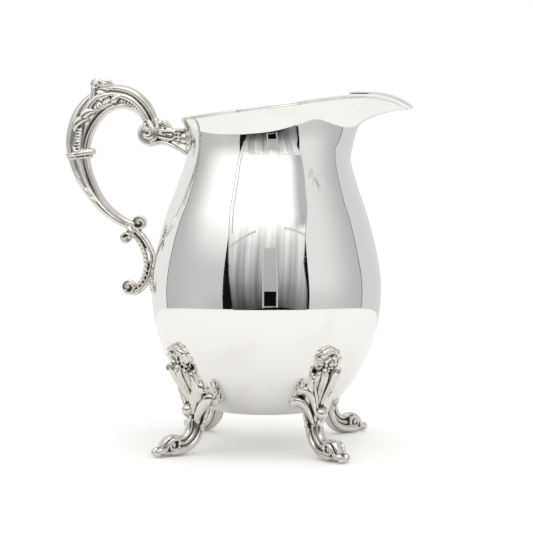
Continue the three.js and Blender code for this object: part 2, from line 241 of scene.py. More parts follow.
# Up to the neck: how much wider than the neck, and how far below it.
BACK_NECK = [(14.2, 50.9), (9.9, 37.9), (5.87, 25.9), (2.64, 15.4), (0.65, 6.9), (0, 0)]
SPOUT_NECK = [(13, 50.9), (8, 37.9), (3.9, 27), (1.4, 19.5), (0.3, 14.7), (0, 10.4)]
# Above the neck: the share of the way out to the mouth, of the way up to it, and of the mouth's slope.
BACK_FLARE = [(0.085, 0.25, 0.06), (0.323, 0.5, 0.25), (0.645, 0.75, 0.56), (1, 1, 1)]
SPOUT_FLARE = [(0.06, 0.3, 0.3), (0.2, 0.58, 0.58), (0.58, 0.76, 0.76), (1, 1, 1)]


def upright_line(neck, flare, reach, count):
    """Rows of (radius, lift, height): lift is the share of the mouth's own slope and dip that a row takes."""
    rows = [(r, 0, z) for r, z in BELLY_LINE]
    rows += [(neck_radius + wider * MM, 0, neck_height - lower * MM) for wider, lower in neck]
    neck_edge, _, neck_top = rows[-1]
    rows += [
        (neck_edge + (reach - neck_edge) * out, lift, neck_top + (mouth_height - neck_top) * up)
        for out, up, lift in flare
    ]
    return smooth_through(rows, count)


ROWS = 160
COLUMNS = 225
# The mouth is an oval, wider in front: this is how suddenly the wall opens out to it above the neck.
OPENING = 1.65
back_line = upright_line(BACK_NECK, BACK_FLARE, mouth_radius, ROWS)
spout_line = upright_line(SPOUT_NECK, SPOUT_FLARE, spout_reach, ROWS)


def body_point(angle, row):
    """The outside of the body, from its own axis, in one direction and at one row of the lines."""
    share = np.exp(-((angle / spout_spread) ** 2))
    mixed = back_line[row] * (1 - share)[..., None] + spout_line[row] * share[..., None]
    r, lift, z = np.moveaxis(mixed, -1, 0)
    opened = np.clip((z - neck_height) / (mouth_height - neck_height), 0, 1) ** OPENING
    r = r + opened * mouth_widen * (1 + np.cos(angle)) / 2 * (1 - share)
    lean = neck_lean * smooth_step(z, lean_start, neck_height)
    lean = lean * (1 - smooth_step(z, neck_height, mouth_height))
    x = lean + r * np.cos(angle)
    dip = spout_dip * (np.maximum(0, x - spout_dip_start) / (spout_reach - spout_dip_start)) ** 3
    return np.stack([x, r * np.sin(angle), z + lift * (mouth_slope * x - dip)], -1)


print("the lines run from z", round(back_line[0, 2] / MM, 1), "to", round(back_line[-1, 2] / MM, 1), "mm")


# %% The tree that wraps the sheet
def body_tree():
    tree, given, result = new_tree(
        "raised body",
        Columns=("Int", 200),
        Spout_Spread=("Float", 0.4),
        Mouth_Slope=("Float", 0.1),
        Spout_Dip=("Float", 0.01),
        Dip_Start=("Float", 0.04),
        Dip_Length=("Float", 0.04),
        Neck_Lean=("Float", 0.0),
        Lean_Start=("Float", 0.1),
        Lean_End=("Float", 0.2),
        Mouth_Height=("Float", 0.22),
        Mouth_Widen=("Float", 0.0),
        Opening=("Float", 1.6),
    )
    size = add(tree, "GeometryNodeAttributeDomainSize", {0: given["Geometry"]}, component="MESH")
    rows = size.outputs["Point Count"]
    grid = add(
        tree,
        "GeometryNodeMeshGrid",
        {"Size X": 2 * math.pi, "Size Y": 1.0, "Vertices X": given["Columns"], "Vertices Y": rows},
    )
    flat = add(tree, "ShaderNodeSeparateXYZ", {0: add(tree, "GeometryNodeInputPosition").outputs[0]})
    # Columns crowd together at the spout, where the sheet bends most.
    crowd = maths(tree, "MULTIPLY", maths(tree, "SINE", flat.outputs[0]), 0.5)
    angle = maths(tree, "SUBTRACT", flat.outputs[0], crowd)
    share_up = maths(tree, "ADD", flat.outputs[1], 0.5)
    row = maths(tree, "ROUND", maths(tree, "MULTIPLY", share_up, maths(tree, "SUBTRACT", rows, 1.0)))

    def read(field):
        return add(
            tree,
            "GeometryNodeSampleIndex",
            {"Geometry": given["Geometry"], "Value": field, "Index": row},
            data_type="FLOAT_VECTOR",
        ).outputs[0]

    back = read(add(tree, "GeometryNodeInputPosition").outputs[0])
    named = add(tree, "GeometryNodeInputNamedAttribute", {"Name": "spout_line"}, data_type="FLOAT_VECTOR")
    front = read(named.outputs[0])
    ratio = maths(tree, "DIVIDE", angle, given["Spout Spread"])
    share = maths(tree, "EXPONENT", maths(tree, "MULTIPLY", maths(tree, "MULTIPLY", ratio, ratio), -1.0))
    mixed = add(tree, "ShaderNodeMix", {0: share, 4: back, 5: front}, data_type="VECTOR")
    line = add(tree, "ShaderNodeSeparateXYZ", {0: mixed.outputs[1]})
    radius, lift, height = line.outputs

    def step_up(low, high):
        values = {"Value": height, "From Min": low, "From Max": high}
        return add(tree, "ShaderNodeMapRange", values, interpolation_type="SMOOTHSTEP").outputs[0]

    # The neck sits a little forward of the belly, and the mouth is back over the belly's middle.
    leaning = maths(tree, "MULTIPLY", step_up(given["Lean Start"], given["Lean End"]), given["Neck Lean"])
    upright = maths(tree, "SUBTRACT", 1.0, step_up(given["Lean End"], given["Mouth Height"]))
    lean = maths(tree, "MULTIPLY", leaning, upright)
    climbed = maths(tree, "SUBTRACT", height, given["Lean End"])
    climb = maths(tree, "DIVIDE", climbed, maths(tree, "SUBTRACT", given["Mouth Height"], given["Lean End"]))
    climb = maths(tree, "MINIMUM", maths(tree, "MAXIMUM", climb, 0.0), 1.0)
    opened = maths(tree, "POWER", climb, given["Opening"])
    frontness = maths(tree, "MULTIPLY", maths(tree, "ADD", maths(tree, "COSINE", angle), 1.0), 0.5)
    wider = maths(tree, "MULTIPLY", maths(tree, "MULTIPLY", opened, frontness), given["Mouth Widen"])
    wider = maths(tree, "MULTIPLY", wider, maths(tree, "SUBTRACT", 1.0, share))
    radius = maths(tree, "ADD", radius, wider)
    x = maths(tree, "ADD", lean, maths(tree, "MULTIPLY", radius, maths(tree, "COSINE", angle)))
    y = maths(tree, "MULTIPLY", radius, maths(tree, "SINE", angle))
    ahead = maths(tree, "MAXIMUM", maths(tree, "SUBTRACT", x, given["Dip Start"]), 0.0)
    along_spout = maths(tree, "DIVIDE", ahead, given["Dip Length"])
    dip = maths(tree, "MULTIPLY", maths(tree, "POWER", along_spout, 3.0), given["Spout Dip"])
    rise = maths(tree, "SUBTRACT", maths(tree, "MULTIPLY", x, given["Mouth Slope"]), dip)
    z = maths(tree, "ADD", height, maths(tree, "MULTIPLY", lift, rise))
    place = add(tree, "ShaderNodeCombineXYZ", {0: x, 1: y, 2: z})
    wrapped = add(
        tree, "GeometryNodeSetPosition", {"Geometry": grid.outputs[0], "Position": place.outputs[0]}
    )
    joined = add(tree, "GeometryNodeMergeByDistance", {"Geometry": wrapped.outputs[0], "Distance": 1e-6})
    smooth = add(tree, "GeometryNodeSetShadeSmooth", {"Geometry": joined.outputs[0]})
    return end_tree(tree, smooth.outputs[0], result)


# %% Wrap, give it a wall and close the bottom
# The radius of each ring that closes the bottom, as a share of the base's.
BOTTOM_RINGS = (0.93, 0.8, 0.6, 0.4, 0.2, 0.08)


def raised_body():
    lines = new_object("pitcher_body", back_line, [])
    spout = lines.data.attributes.new("spout_line", "FLOAT_VECTOR", "POINT")
    spout.data.foreach_set("vector", spout_line.astype(np.float32).ravel())
    body = run_tree(
        lines,
        body_tree(),
        Columns=COLUMNS,
        Spout_Spread=spout_spread,
        Mouth_Slope=mouth_slope,
        Spout_Dip=spout_dip,
        Dip_Start=spout_dip_start,
        Dip_Length=spout_reach - spout_dip_start,
        Neck_Lean=neck_lean,
        Lean_Start=lean_start,
        Lean_End=neck_height,
        Mouth_Height=mouth_height,
        Mouth_Widen=mouth_widen,
        Opening=OPENING,
    )
    set_coordinates(body.data, coordinates(body.data) + (axis_x, 0, 0))
    close_bottom(body.data)
    wall = body.modifiers.new("wall", "SOLIDIFY")
    wall.thickness = sheet
    wall.offset = -1
    wall.use_even_offset = False
    body = settled(body, "pitcher_body")
    body.data.shade_smooth()
    return body


def close_bottom(mesh):
    """Fills the round hole at the base with rings that carry the base's own slight hollow to its middle."""
    bm = bmesh.new()
    bm.from_mesh(mesh)
    ring = [e for e in bm.edges if e.is_boundary and max(v.co.z for v in e.verts) < base_height + MM]
    for share in BOTTOM_RINGS:
        made = bmesh.ops.extrude_edge_only(bm, edges=ring)["geom"]
        for v in (g for g in made if isinstance(g, bmesh.types.BMVert)):
            out = np.array((v.co.x - axis_x, v.co.y))
            out *= base_radius * share / np.hypot(*out)
            v.co = (axis_x + out[0], out[1], base_height + base_hollow * (1 - share**2))
        ring = [g for g in made if isinstance(g, bmesh.types.BMEdge) and g.is_boundary]
    bmesh.ops.contextual_create(bm, geom=ring)
    bmesh.ops.remove_doubles(bm, verts=bm.verts, dist=1e-6)
    bmesh.ops.recalc_face_normals(bm, faces=bm.faces)
    bm.to_mesh(mesh)
    bm.free()
    mesh.shade_smooth()


body = raised_body()
print("the body has", len(body.data.polygons), "faces")

# %% [markdown]
# ## Mouldings on the mouth
# Bare sheet is sharp and bends, so a silversmith solders a drawn wire along the mouth, and a heavier band
# round the spout, where it takes knocks. A curve with a bevel would do, but one tree for both keeps them
# alike: it sweeps an oval along a path, and leans the oval with the wall that it stands on.

# %% The tree that sweeps a moulding
def moulding_tree():
    tree, given, result = new_tree("edge moulding", Width=("Float", 0.001), Height=("Float", 0.001))
    path = add(tree, "GeometryNodeMeshToCurve", {0: given["Geometry"]})
    upright = add(tree, "GeometryNodeSetCurveNormal", {"Curve": path.outputs[0]}, mode="Z_UP")
    lean = add(tree, "GeometryNodeInputNamedAttribute", {"Name": "lean"}, data_type="FLOAT")
    leant = add(tree, "GeometryNodeSetCurveTilt", {"Curve": upright.outputs[0], "Tilt": lean.outputs[0]})
    oval = add(tree, "GeometryNodeCurvePrimitiveCircle", {"Resolution": 20, "Radius": 0.5}, mode="RADIUS")
    size = add(tree, "ShaderNodeCombineXYZ", {0: given["Width"], 1: given["Height"], 2: 1.0})
    section = add(tree, "GeometryNodeTransform", {"Geometry": oval.outputs[0], "Scale": size.outputs[0]})
    swept = add(
        tree,
        "GeometryNodeCurveToMesh",
        {"Curve": leant.outputs[0], "Profile Curve": section.outputs[0], "Fill Caps": True},
    )
    smooth = add(tree, "GeometryNodeSetShadeSmooth", {"Geometry": swept.outputs[0]})
    return end_tree(tree, smooth.outputs[0], result)


EDGE_MOULDING = moulding_tree()


# %% Paths along the wall's edge
def edge_frame(angles):
    """Where the wall's edge is in each direction, and the ways out of the wall, up it and along its edge."""
    last = np.full(len(angles), ROWS - 1)
    place = body_point(angles, last)
    along = body_point(angles + 0.005, last) - body_point(angles - 0.005, last)
    climb = place - body_point(angles, last - 1)
    out = unit(np.cross(along, climb))
    return place, out, unit(np.cross(out, along)), along


def moulding(name, angles, width, height, sink):
    """A swept oval that stands on the wall's edge, let down into it by sink."""
    place, out, up, along = edge_frame(angles)
    path = place - out * sheet / 2 + up * (height / 2 - sink) + (axis_x, 0, 0)
    line = new_line(name, path)
    lean = np.arctan2(np.einsum("ij,ij->i", up, unit(np.cross(along, (0, 0, 1)))), up[:, 2])
    line.data.attributes.new("lean", "FLOAT", "POINT").data.foreach_set("value", lean.astype(np.float32))
    return run_tree(line, EDGE_MOULDING, Width=width, Height=height)


# The band goes this far round the spout on each side, and the wire starts a hair behind it.
LIP_ANGLE = 0.5
rim_angles = np.linspace(LIP_ANGLE + 0.01, 2 * math.pi - LIP_ANGLE - 0.01, 260)
rim_angles = np.where(rim_angles > math.pi, rim_angles - 2 * math.pi, rim_angles)
lip_angles = np.linspace(-LIP_ANGLE, LIP_ANGLE, 200)
rim_wire = moulding("rim_moulding", rim_angles, width=1.7 * MM, height=1.6 * MM, sink=0.5 * MM)
lip_band = moulding("spout_lip_moulding", lip_angles, width=2.6 * MM, height=3.8 * MM, sink=0.6 * MM)
print("mouldings:", len(rim_wire.data.polygons), "and", len(lip_band.data.polygons), "faces")

# %% [markdown]
# ## How the castings are made
# The handle and legs are cast in sand or lost wax, then chased: rounded leaves, scrolls and beads run into
# each other and leave narrow valleys. A sculptor builds such a form from rolls of clay. So does this: each
# leaf or scroll is a tapering roll along a smooth path, the rolls are pressed into one skin by a voxel
# remesh, and the skin is rubbed smooth. Rolls are written in millimetres from the body's own axis.

# %% Rolls of clay
# The half thickness, in millimetres, that no roll goes below.
THINNEST = 0.2


class Clay:
    """Rolls pressed together, as arrays of corners and faces, in millimetres."""

    def __init__(self):
        self.corners = []
        self.faces = []
        self.count = 0

    def press(self, corners, faces):
        """Adds one closed form to the clay."""
        self.corners.append(np.asarray(corners, float))
        self.faces += [tuple(self.count + i for i in f) for f in faces]
        self.count += len(corners)

    def roll(self, path, size, depth=None, across=(0, 1, 0), count=28, sides=14, cap=None):
        """A roll along a path. size is its half thickness, depth its half width in the direction across, and
        cap the length of its round ends."""
        path = [(p[0], 0, p[1]) if len(p) == 2 else p for p in path]
        spine = smooth_through(path, count)
        stretch = lambda v: smooth_through(v, count) if np.ndim(v) else np.full(count, float(v))
        thick = np.maximum(stretch(size), THINNEST)
        wide = thick if depth is None else np.maximum(stretch(depth), THINNEST)
        ahead = unit(np.gradient(spine, axis=0))
        across = np.array(across, float)
        side = unit(across - ahead * (ahead @ across)[:, None])
        over = np.cross(ahead, side)
        rings = []
        turn = np.linspace(0, 2 * math.pi, sides, endpoint=False)
        bends = np.radians((12, 35, 62))
        rows = [(0, -math.cos(a), math.sin(a)) for a in bends]
        rows += [(i, 0, 1) for i in range(count)]
        rows += [(count - 1, math.cos(a), math.sin(a)) for a in bends[::-1]]
        for i, on, share in rows:
            middle = spine[i] + ahead[i] * on * (min(thick[i], wide[i]) if cap is None else cap)
            rings.append(
                middle
                + np.outer(np.cos(turn) * thick[i] * share, over[i])
                + np.outer(np.sin(turn) * wide[i] * share, side[i])
            )
        corners = np.concatenate(rings)
        n = len(rings)
        faces = [
            (
                r * sides + k,
                r * sides + (k + 1) % sides,
                (r + 1) * sides + (k + 1) % sides,
                (r + 1) * sides + k,
            )
            for r in range(n - 1)
            for k in range(sides)
        ]
        faces += [tuple(range(sides))[::-1], tuple((n - 1) * sides + k for k in range(sides))]
        self.press(corners, faces)

    def ball(self, place, radius):
        """A roll so short that its two round ends meet."""
        x, y, z = place
        path = [(x, y, z - radius * 0.4), (x, y, z), (x, y, z + radius * 0.4)]
        self.roll(path, [radius * 0.92, radius, radius * 0.92], count=7)

    def both(self, path, size, depth=None, **more):
        """The same roll on both sides of the middle plane, with its path given for +Y."""
        for side in (1, -1):
            self.roll([(x, side * y, z) for x, y, z in path], size, depth, **more)

    def drum(self, middle, deep, radius, cap):
        """A short round bar straight through the piece."""
        x, z = middle
        path = [(x, -deep, z), (x, 0, z), (x, deep, z)]
        self.roll(path, radius, across=(0, 0, 1), count=9, sides=24, cap=cap)

    def volute(self, middle, outer, y, inner, start, turns, tube):
        """A rolled-up end: a plain core through the piece, with a spiral bead and an eye on each of its two
        faces. outer is its radius, y how far the faces are from the middle plane, inner the eye's radius,
        start the angle of the spiral's outer end, and tube the bead's half thickness."""
        x, z = middle
        self.drum(middle, deep=y * 0.62, radius=outer * 0.9, cap=0.2)
        t = np.linspace(0, 1, 9)
        angle = start + turns * 2 * math.pi * t
        radius = outer - tube + (inner - outer + tube) * t
        path = [(x + r * math.cos(a), y * 0.8, z + r * math.sin(a)) for r, a in zip(radius, angle)]
        self.both(path, tube * (1.0 - 0.25 * t), y * 0.2 + tube * (1.2 - 0.1 * t), count=60, sides=12)
        eye = [(x, y * 0.5, z), (x, y * 0.8, z), (x, y, z)]
        self.both(eye, inner, across=(0, 0, 1), count=7, cap=inner * 0.8)

    def add_object(self, obj, move=None):
        """Presses in a made object, in millimetres, after moving its corners."""
        corners = coordinates(obj.data) / MM
        faces = [tuple(p.vertices) for p in obj.data.polygons]
        self.press(move(corners) if move else corners, faces)
        bpy.data.objects.remove(obj)


# %% [markdown]
# ## Rows of beads and ribs
# Beads, gadroon ribs and rope strands are one shape over and over, getting smaller at the ends of a row.
# Copying them by hand would fix their number, so a tree sets them out: it divides a path evenly, stands a
# pip on each point along the path's own direction, and swells the middle of the row.

# %% The tree that sets out a row
def row_tree():
    tree, given, result = new_tree(
        "row of pips",
        Count=("Int", 8),
        Along=("Float", 0.001),
        Across=("Float", 0.001),
        Depth=("Float", 0.001),
        End_Size=("Float", 0.6),
        Slant=("Float", 0.0),
    )
    path = add(tree, "GeometryNodeMeshToCurve", {0: given["Geometry"]})
    even = add(tree, "GeometryNodeResampleCurve", {"Curve": path.outputs[0], "Count": given["Count"]})
    pip = add(tree, "GeometryNodeMeshUVSphere", {"Segments": 10, "Rings": 7, "Radius": 1.0})
    size = add(tree, "ShaderNodeCombineXYZ", {0: given["Along"], 1: given["Depth"], 2: given["Across"]})
    shaped = add(tree, "GeometryNodeTransform", {"Geometry": pip.outputs[0], "Scale": size.outputs[0]})
    slant = add(tree, "ShaderNodeCombineXYZ", {1: given["Slant"]})
    tilted = add(tree, "GeometryNodeTransform", {"Geometry": shaped.outputs[0], "Rotation": slant.outputs[0]})
    tangent = add(tree, "GeometryNodeInputTangent")
    turn = add(
        tree, "FunctionNodeAlignRotationToVector", {"Vector": tangent.outputs[0]}, axis="X", pivot_axis="Y"
    )
    place = add(tree, "GeometryNodeSplineParameter")
    middle = maths(tree, "SINE", maths(tree, "MULTIPLY", place.outputs["Factor"], math.pi))
    swell = add(tree, "ShaderNodeMapRange", {"Value": middle, "To Min": given["End Size"], "To Max": 1.0})
    pips = add(
        tree,
        "GeometryNodeInstanceOnPoints",
        {
            "Points": even.outputs[0],
            "Instance": tilted.outputs[0],
            "Rotation": turn.outputs[0],
            "Scale": swell.outputs[0],
        },
    )
    return end_tree(tree, pips.outputs[0], result)


ROW = row_tree()


def set_out_row(clay, path, count, along, across, depth, y=0.0, end_size=0.6, slant=0.0):
    """Presses a row of pips into the clay along a path in the XZ plane, on both sides at a distance y."""
    for side in (1, -1) if y else (0,):
        places = smooth_through([(x, side * y, z) for x, z in path], 40) * MM
        sizes = {"Along": along * MM, "Across": across * MM, "Depth": depth * MM}
        pips = run_tree(
            new_line("row", places), ROW, Count=count, End_Size=end_size, Slant=slant, **sizes
        )
        clay.add_object(pips)


# %% [markdown]
# ## From clay to metal
# The voxel remesh gives one closed skin, whose steps are rubbed out by moving each corner towards its
# neighbours. Where the rubbed skin ends up outside the real one, there is a valley. In its creases oxide
# stays on real silver after polishing, and the valleys and broad hollows are darkened as painted shade too.
# The depth of the valleys is kept as an attribute, `recess`, which the cast finish reads. Last, the back of
# the casting is pressed onto the body, and the feet onto the table.

# %% Press, rub and measure the valleys
def neighbour_average(places, pairs, tally):
    """The mean of each corner's neighbours. pairs holds both ends of every edge, tally how many each has."""
    total = np.stack([np.bincount(pairs[:, 0], places[pairs[:, 1], k], len(places)) for k in range(3)], 1)
    return total / tally[:, None]


def rub(places, pairs, tally, passes, strength=0.5):
    """Each corner moved part of the way to the mean of its neighbours, a number of times."""
    for _ in range(passes):
        places = places + strength * (neighbour_average(places, pairs, tally) - places)
    return places


def on_body(places, clearance):
    """Corners that lie inside the body's skin, moved out to it, on the back and sides of the body."""
    line = back_line[:, (0, 2)]
    middle = axis_x + neck_lean * smooth_step(places[:, 2], lean_start, neck_height)
    # The body's rows slope with its mouth, more and more towards the top, so each corner is levelled first.
    lift = np.interp(places[:, 2], back_line[:, 2], back_line[:, 1])
    slope = lift * mouth_slope * (places[:, 0] - axis_x)
    places = places - slope[:, None] * (0, 0, 1)
    out = np.stack([places[:, 0] - middle, places[:, 1]], 1)
    radius = np.hypot(out[:, 0], out[:, 1])
    way = np.gradient(line, axis=0)
    normal = unit(np.stack([way[:, 1], -way[:, 0]], 1))
    here = np.stack([radius, places[:, 2]], 1)
    near = np.empty(len(here), int)
    # The nearest row of the back line, a few thousand corners at a time to spare memory.
    batch = 4000
    for start in range(0, len(here), batch):
        part = here[start : start + batch]
        near[start : start + batch] = np.argmin(((part[:, None] - line[None]) ** 2).sum(2), 1)
    height = ((here - line[near]) * normal[near]).sum(1)
    push = np.maximum(0, clearance - height)
    moved = here + normal[near] * push[:, None]
    scale = moved[:, 0] / np.maximum(radius, 1e-9)
    return np.stack([middle + out[:, 0] * scale, out[:, 1] * scale, moved[:, 1] + slope], 1)


# How deep a narrow and a broad valley have to be for their darkening to be full: oxide in the creases, painted
# shade in the broad hollows.
NARROW_VALLEY = 0.08 * MM
BROAD_VALLEY = 0.35 * MM
SOLDER_GAP = 0.05 * MM


def cast(clay, name, voxel=0.4, turn=0.0, rub_passes=3, oxide_and_shade=1.0):
    """The finished casting: one smooth skin, seated on the body, with its valleys marked."""
    corners = np.concatenate(clay.corners) * MM
    rough = new_object(name, corners, clay.faces)
    skin = rough.modifiers.new("skin", "REMESH")
    skin.mode = "VOXEL"
    skin.voxel_size = voxel * MM
    skin.use_smooth_shade = True
    made = settled(rough, name)
    mesh = made.data
    ends = np.empty(len(mesh.edges) * 2, int)
    mesh.edges.foreach_get("vertices", ends)
    ends = ends.reshape(-1, 2)
    pairs = np.concatenate([ends, ends[:, ::-1]])
    tally = np.maximum(1, np.bincount(pairs[:, 0], minlength=len(mesh.vertices)))
    places = rub(coordinates(mesh), pairs, tally, rub_passes)
    set_coordinates(mesh, places)
    normal = np.empty(len(places) * 3)
    mesh.vertices.foreach_get("normal", normal)
    normal = normal.reshape(-1, 3)
    # A few passes fill only the narrow valleys, and many fill the broad ones too.
    fine = ((rub(places, pairs, tally, 6) - places) * normal).sum(1)
    broad = ((rub(places, pairs, tally, 40) - places) * normal).sum(1)
    # recess is oxide in part and painted shade in part: the broad valleys add the painted shade of the hollows.
    recess = np.clip(fine / NARROW_VALLEY, 0, 1) * 0.7 + np.clip(broad / BROAD_VALLEY, 0, 1) * 0.7
    recess = rub(np.stack([np.clip(recess * oxide_and_shade, 0, 1)] * 3, 1), pairs, tally, 2)[:, 0]
    mesh.attributes.new("recess", "FLOAT", "POINT").data.foreach_set("value", recess.astype(np.float32))
    cos, sin = math.cos(turn), math.sin(turn)
    x, y, z = places.T
    places = np.stack([axis_x + x * cos - y * sin, x * sin + y * cos, np.maximum(z, 0)], 1)
    set_coordinates(mesh, on_body(places, SOLDER_GAP))
    print(name, "has", len(mesh.polygons), "faces")
    return made

# %% [markdown]
# ## The cast handle
# The handle is one long C-scroll with a smaller S-scroll under it. Seen from the side it is three bands: a
# plain wire inside, where the fingers go, a leafy strap outside, and a sunk channel of ribs between them.
# Each band is a roll of its own, so that the valleys between them are real and hold their oxide and painted
# shade.

# %% The grip
def grip():
    clay = Clay()
    middle = [
        (-77.5, 209), (-79.5, 216), (-86, 222.4), (-98, 226), (-111, 223.6), (-120.4, 214.5), (-124.7, 203),
        (-125, 190), (-120, 174.5), (-109.8, 158.4), (-98.5, 148.8), (-91, 145),
    ]
    clay.roll(
        middle,
        [3, 3.6, 4, 4.4, 5, 5, 4.6, 4.2, 3.6, 3.2, 3, 3],
        [3, 3.5, 3.8, 3.9, 4, 4, 3.8, 3.4, 2.8, 2.6, 2.6, 2.6],
        count=70,
    )
    inner_wire = [
        (-80.2, 211.5), (-83.4, 218.6), (-88.8, 222.4), (-96.5, 223.4), (-104, 221.2), (-111, 215.4),
        (-116.6, 207), (-119.7, 198), (-120.2, 189.7), (-118.6, 180.5), (-114.6, 170), (-109, 160.2),
        (-102, 152.9), (-94.2, 147.4), (-88.6, 145.4),
    ]
    clay.roll(
        inner_wire,
        [1.3, 1.9, 2.1, 2.1, 2.1, 2.2, 2.3, 2.3, 2.2, 2.1, 2.1, 2, 2, 2, 1.8],
        [3.4, 4, 4.2, 4.2, 4.2, 4.3, 4.3, 4.2, 4.1, 4, 3.9, 3.9, 3.8, 3.6, 3.2],
        count=90,
    )
    outer_strap = [
        (-115.4, 230.2), (-120.4, 225.4), (-125.2, 218.3), (-128.2, 210.4), (-129.8, 202.5), (-129.9, 195.6),
        (-127.6, 187), (-124.3, 177.6), (-119.4, 168), (-112.7, 159), (-104.5, 151.2), (-96.6, 146.2),
        (-91.5, 143.8),
    ]
    clay.roll(
        outer_strap,
        [2.2, 3.2, 3.9, 4.3, 4.4, 4.3, 4.7, 4.3, 3.8, 3.4, 3, 2.7, 2.2],
        [4.4, 4.9, 5.3, 5.5, 5.5, 5.3, 4.8, 4.5, 4.2, 4, 3.9, 3.7, 3.4],
        count=90,
        sides=20,
    )
    top_leaf(clay)
    channel(clay)
    front_volute(clay)
    return cast(clay, "handle_grip_casting", voxel=0.35, rub_passes=5)


# %% [markdown]
# The strap opens into leaves at the top. A leaf is a fat roll with a thinner rolled edge on each face, and
# where one leaf ends and the next begins, the tip curls over into a small round.

# %% Leaves, channel and volute of the grip
def top_leaf(clay):
    # Two broad ridges flow side by side from the thumb rest to the front volute.
    upper = [(-108, 234.2), (-98.6, 234.7), (-88.8, 232), (-80.6, 225.6), (-75.4, 217.2), (-73, 209)]
    clay.roll(upper, [1.8, 2.6, 2.7, 2.6, 2.3, 1.6], [4, 4.9, 5, 4.8, 4.4, 3.8], count=70)
    lower = [(-105.4, 231.2), (-98.4, 230.4), (-90.4, 228), (-83.4, 222.3), (-79, 215.4), (-77, 209.6)]
    clay.both(
        [(x, 2.6, z) for x, z in lower], [1.6, 2.2, 2.2, 2, 1.7, 1.1], [2, 2.8, 2.9, 2.7, 2.4, 1.6], count=60
    )
    clay.roll(lower, 1.4, 3.4, count=60)
    # The ends of the leaves under the thumb rest curl into lobes.
    clay.both(
        [(-104.4, 4.2, 230.6), (-107.2, 4.9, 230), (-109.8, 4.7, 228.7), (-109, 4.2, 227)],
        [1.4, 2, 1.9, 1],
        1.7,
    )
    clay.both(
        [(-97.6, 4.4, 229.8), (-99.6, 5, 228), (-101.2, 4.8, 226.8), (-99.6, 4.4, 225.8)],
        [1.4, 2.1, 1.9, 1],
        1.7,
    )
    clay.both(
        [(-110.5, 4, 230.5), (-114.8, 4.8, 226.4), (-118.6, 4.8, 221), (-121, 4.6, 216.8)],
        [1.2, 1.8, 1.8, 1.1],
        1.4,
        count=40,
    )
    # Two curls that overlap where the leaf turns down into the stem.
    clay.both(
        [(-114.6, 4, 219.4), (-117.6, 4.9, 219.6), (-121.2, 5.2, 217), (-122, 4.6, 213.8)],
        [1.5, 2.5, 2.5, 1.3],
        1.6,
    )
    clay.both(
        [(-118.8, 4, 214.6), (-122, 5, 214.6), (-125.8, 5.3, 211.8), (-126.8, 4.7, 208.4)],
        [1.5, 2.5, 2.5, 1.3],
        1.6,
    )


def channel(clay):
    # Ribs in the sunk channel, in three stretches between the leaves.
    row = [(-117.4, 216.6), (-112, 222), (-105.6, 225)]
    set_out_row(clay, row, count=8, along=0.62, across=2.1, depth=1.1, y=3.7)
    row = [(-95.4, 226), (-88, 224.2), (-82.6, 219.6), (-80, 214.4)]
    set_out_row(clay, row, count=11, along=0.6, across=2.0, depth=1.1, y=3.7)
    row = [(-124.4, 207.6), (-125.6, 201.4), (-125.4, 195.8)]
    set_out_row(clay, row, count=7, along=0.72, across=2.3, depth=1.1, y=3.8, end_size=0.75)
    # A hook closes the window of ribs above the ring.
    clay.both(
        [(-127.4, 4.6, 195), (-126.6, 5, 193.2), (-124.8, 5, 193), (-124, 4.8, 194.4)],
        [0.8, 1.3, 1.3, 0.9],
        1,
    )
    # Beads on the lower bar's outer edge, ending in two drops.
    row = [(-128.2, 185.4), (-125.6, 178), (-121.8, 170.4)]
    set_out_row(clay, row, count=11, along=0.75, across=0.85, depth=0.8, y=4.2, end_size=0.55)
    clay.both([(-120.6, 3.8, 168.6), (-119.2, 4.3, 166.2), (-117.6, 3.9, 163.8)], [0.6, 1.1, 0.6], 0.9)
    clay.both([(-117.2, 3.6, 163.2), (-115.6, 4.1, 161), (-113.8, 3.6, 158.8)], [0.5, 0.9, 0.5], 0.8)


def front_volute(clay):
    # The inner wire rolls on round the end and under it, to meet the bracket.
    rolled = [(-79.4, 211.4), (-82.6, 208.4), (-83.6, 204.2), (-81.4, 200.2), (-76.8, 198.4), (-72, 198.9)]
    clay.roll(rolled, [1.8, 2.1, 2.3, 2.3, 2.1, 1.6], [3.8, 4.2, 4.4, 4.4, 4.2, 3.8], count=60)
    clay.drum((-77.6, 204.8), deep=3.9, radius=5.4, cap=0.5)
    # A leaf hooks into it from above, and the crest ends beside the leaf.
    clay.both(
        [(-77.8, 3.6, 213.4), (-76, 4.4, 210), (-75.2, 4.8, 206.2), (-76.8, 4.9, 203.2), (-80, 4.6, 203.4)],
        [1.3, 2, 2.2, 2, 1.4],
        1.3,
        count=50,
    )
    clay.both([(-79.8, 3.8, 208.4), (-78, 4.4, 207.6), (-77.2, 4.2, 206.2)], [0.8, 1.2, 0.8], 1)
    clay.both(
        [(-72.6, 3, 214), (-71.8, 3.8, 208), (-73, 4, 203), (-74.6, 3.6, 200.8)],
        [1.1, 1.5, 1.5, 1],
        1.3,
        count=40,
    )


# %% [markdown]
# The thumb rest is a ribbon that climbs off the strap and rolls over forwards, with a small bud in front of
# it. The ring lower down hides the place where a founder joins two moulds.

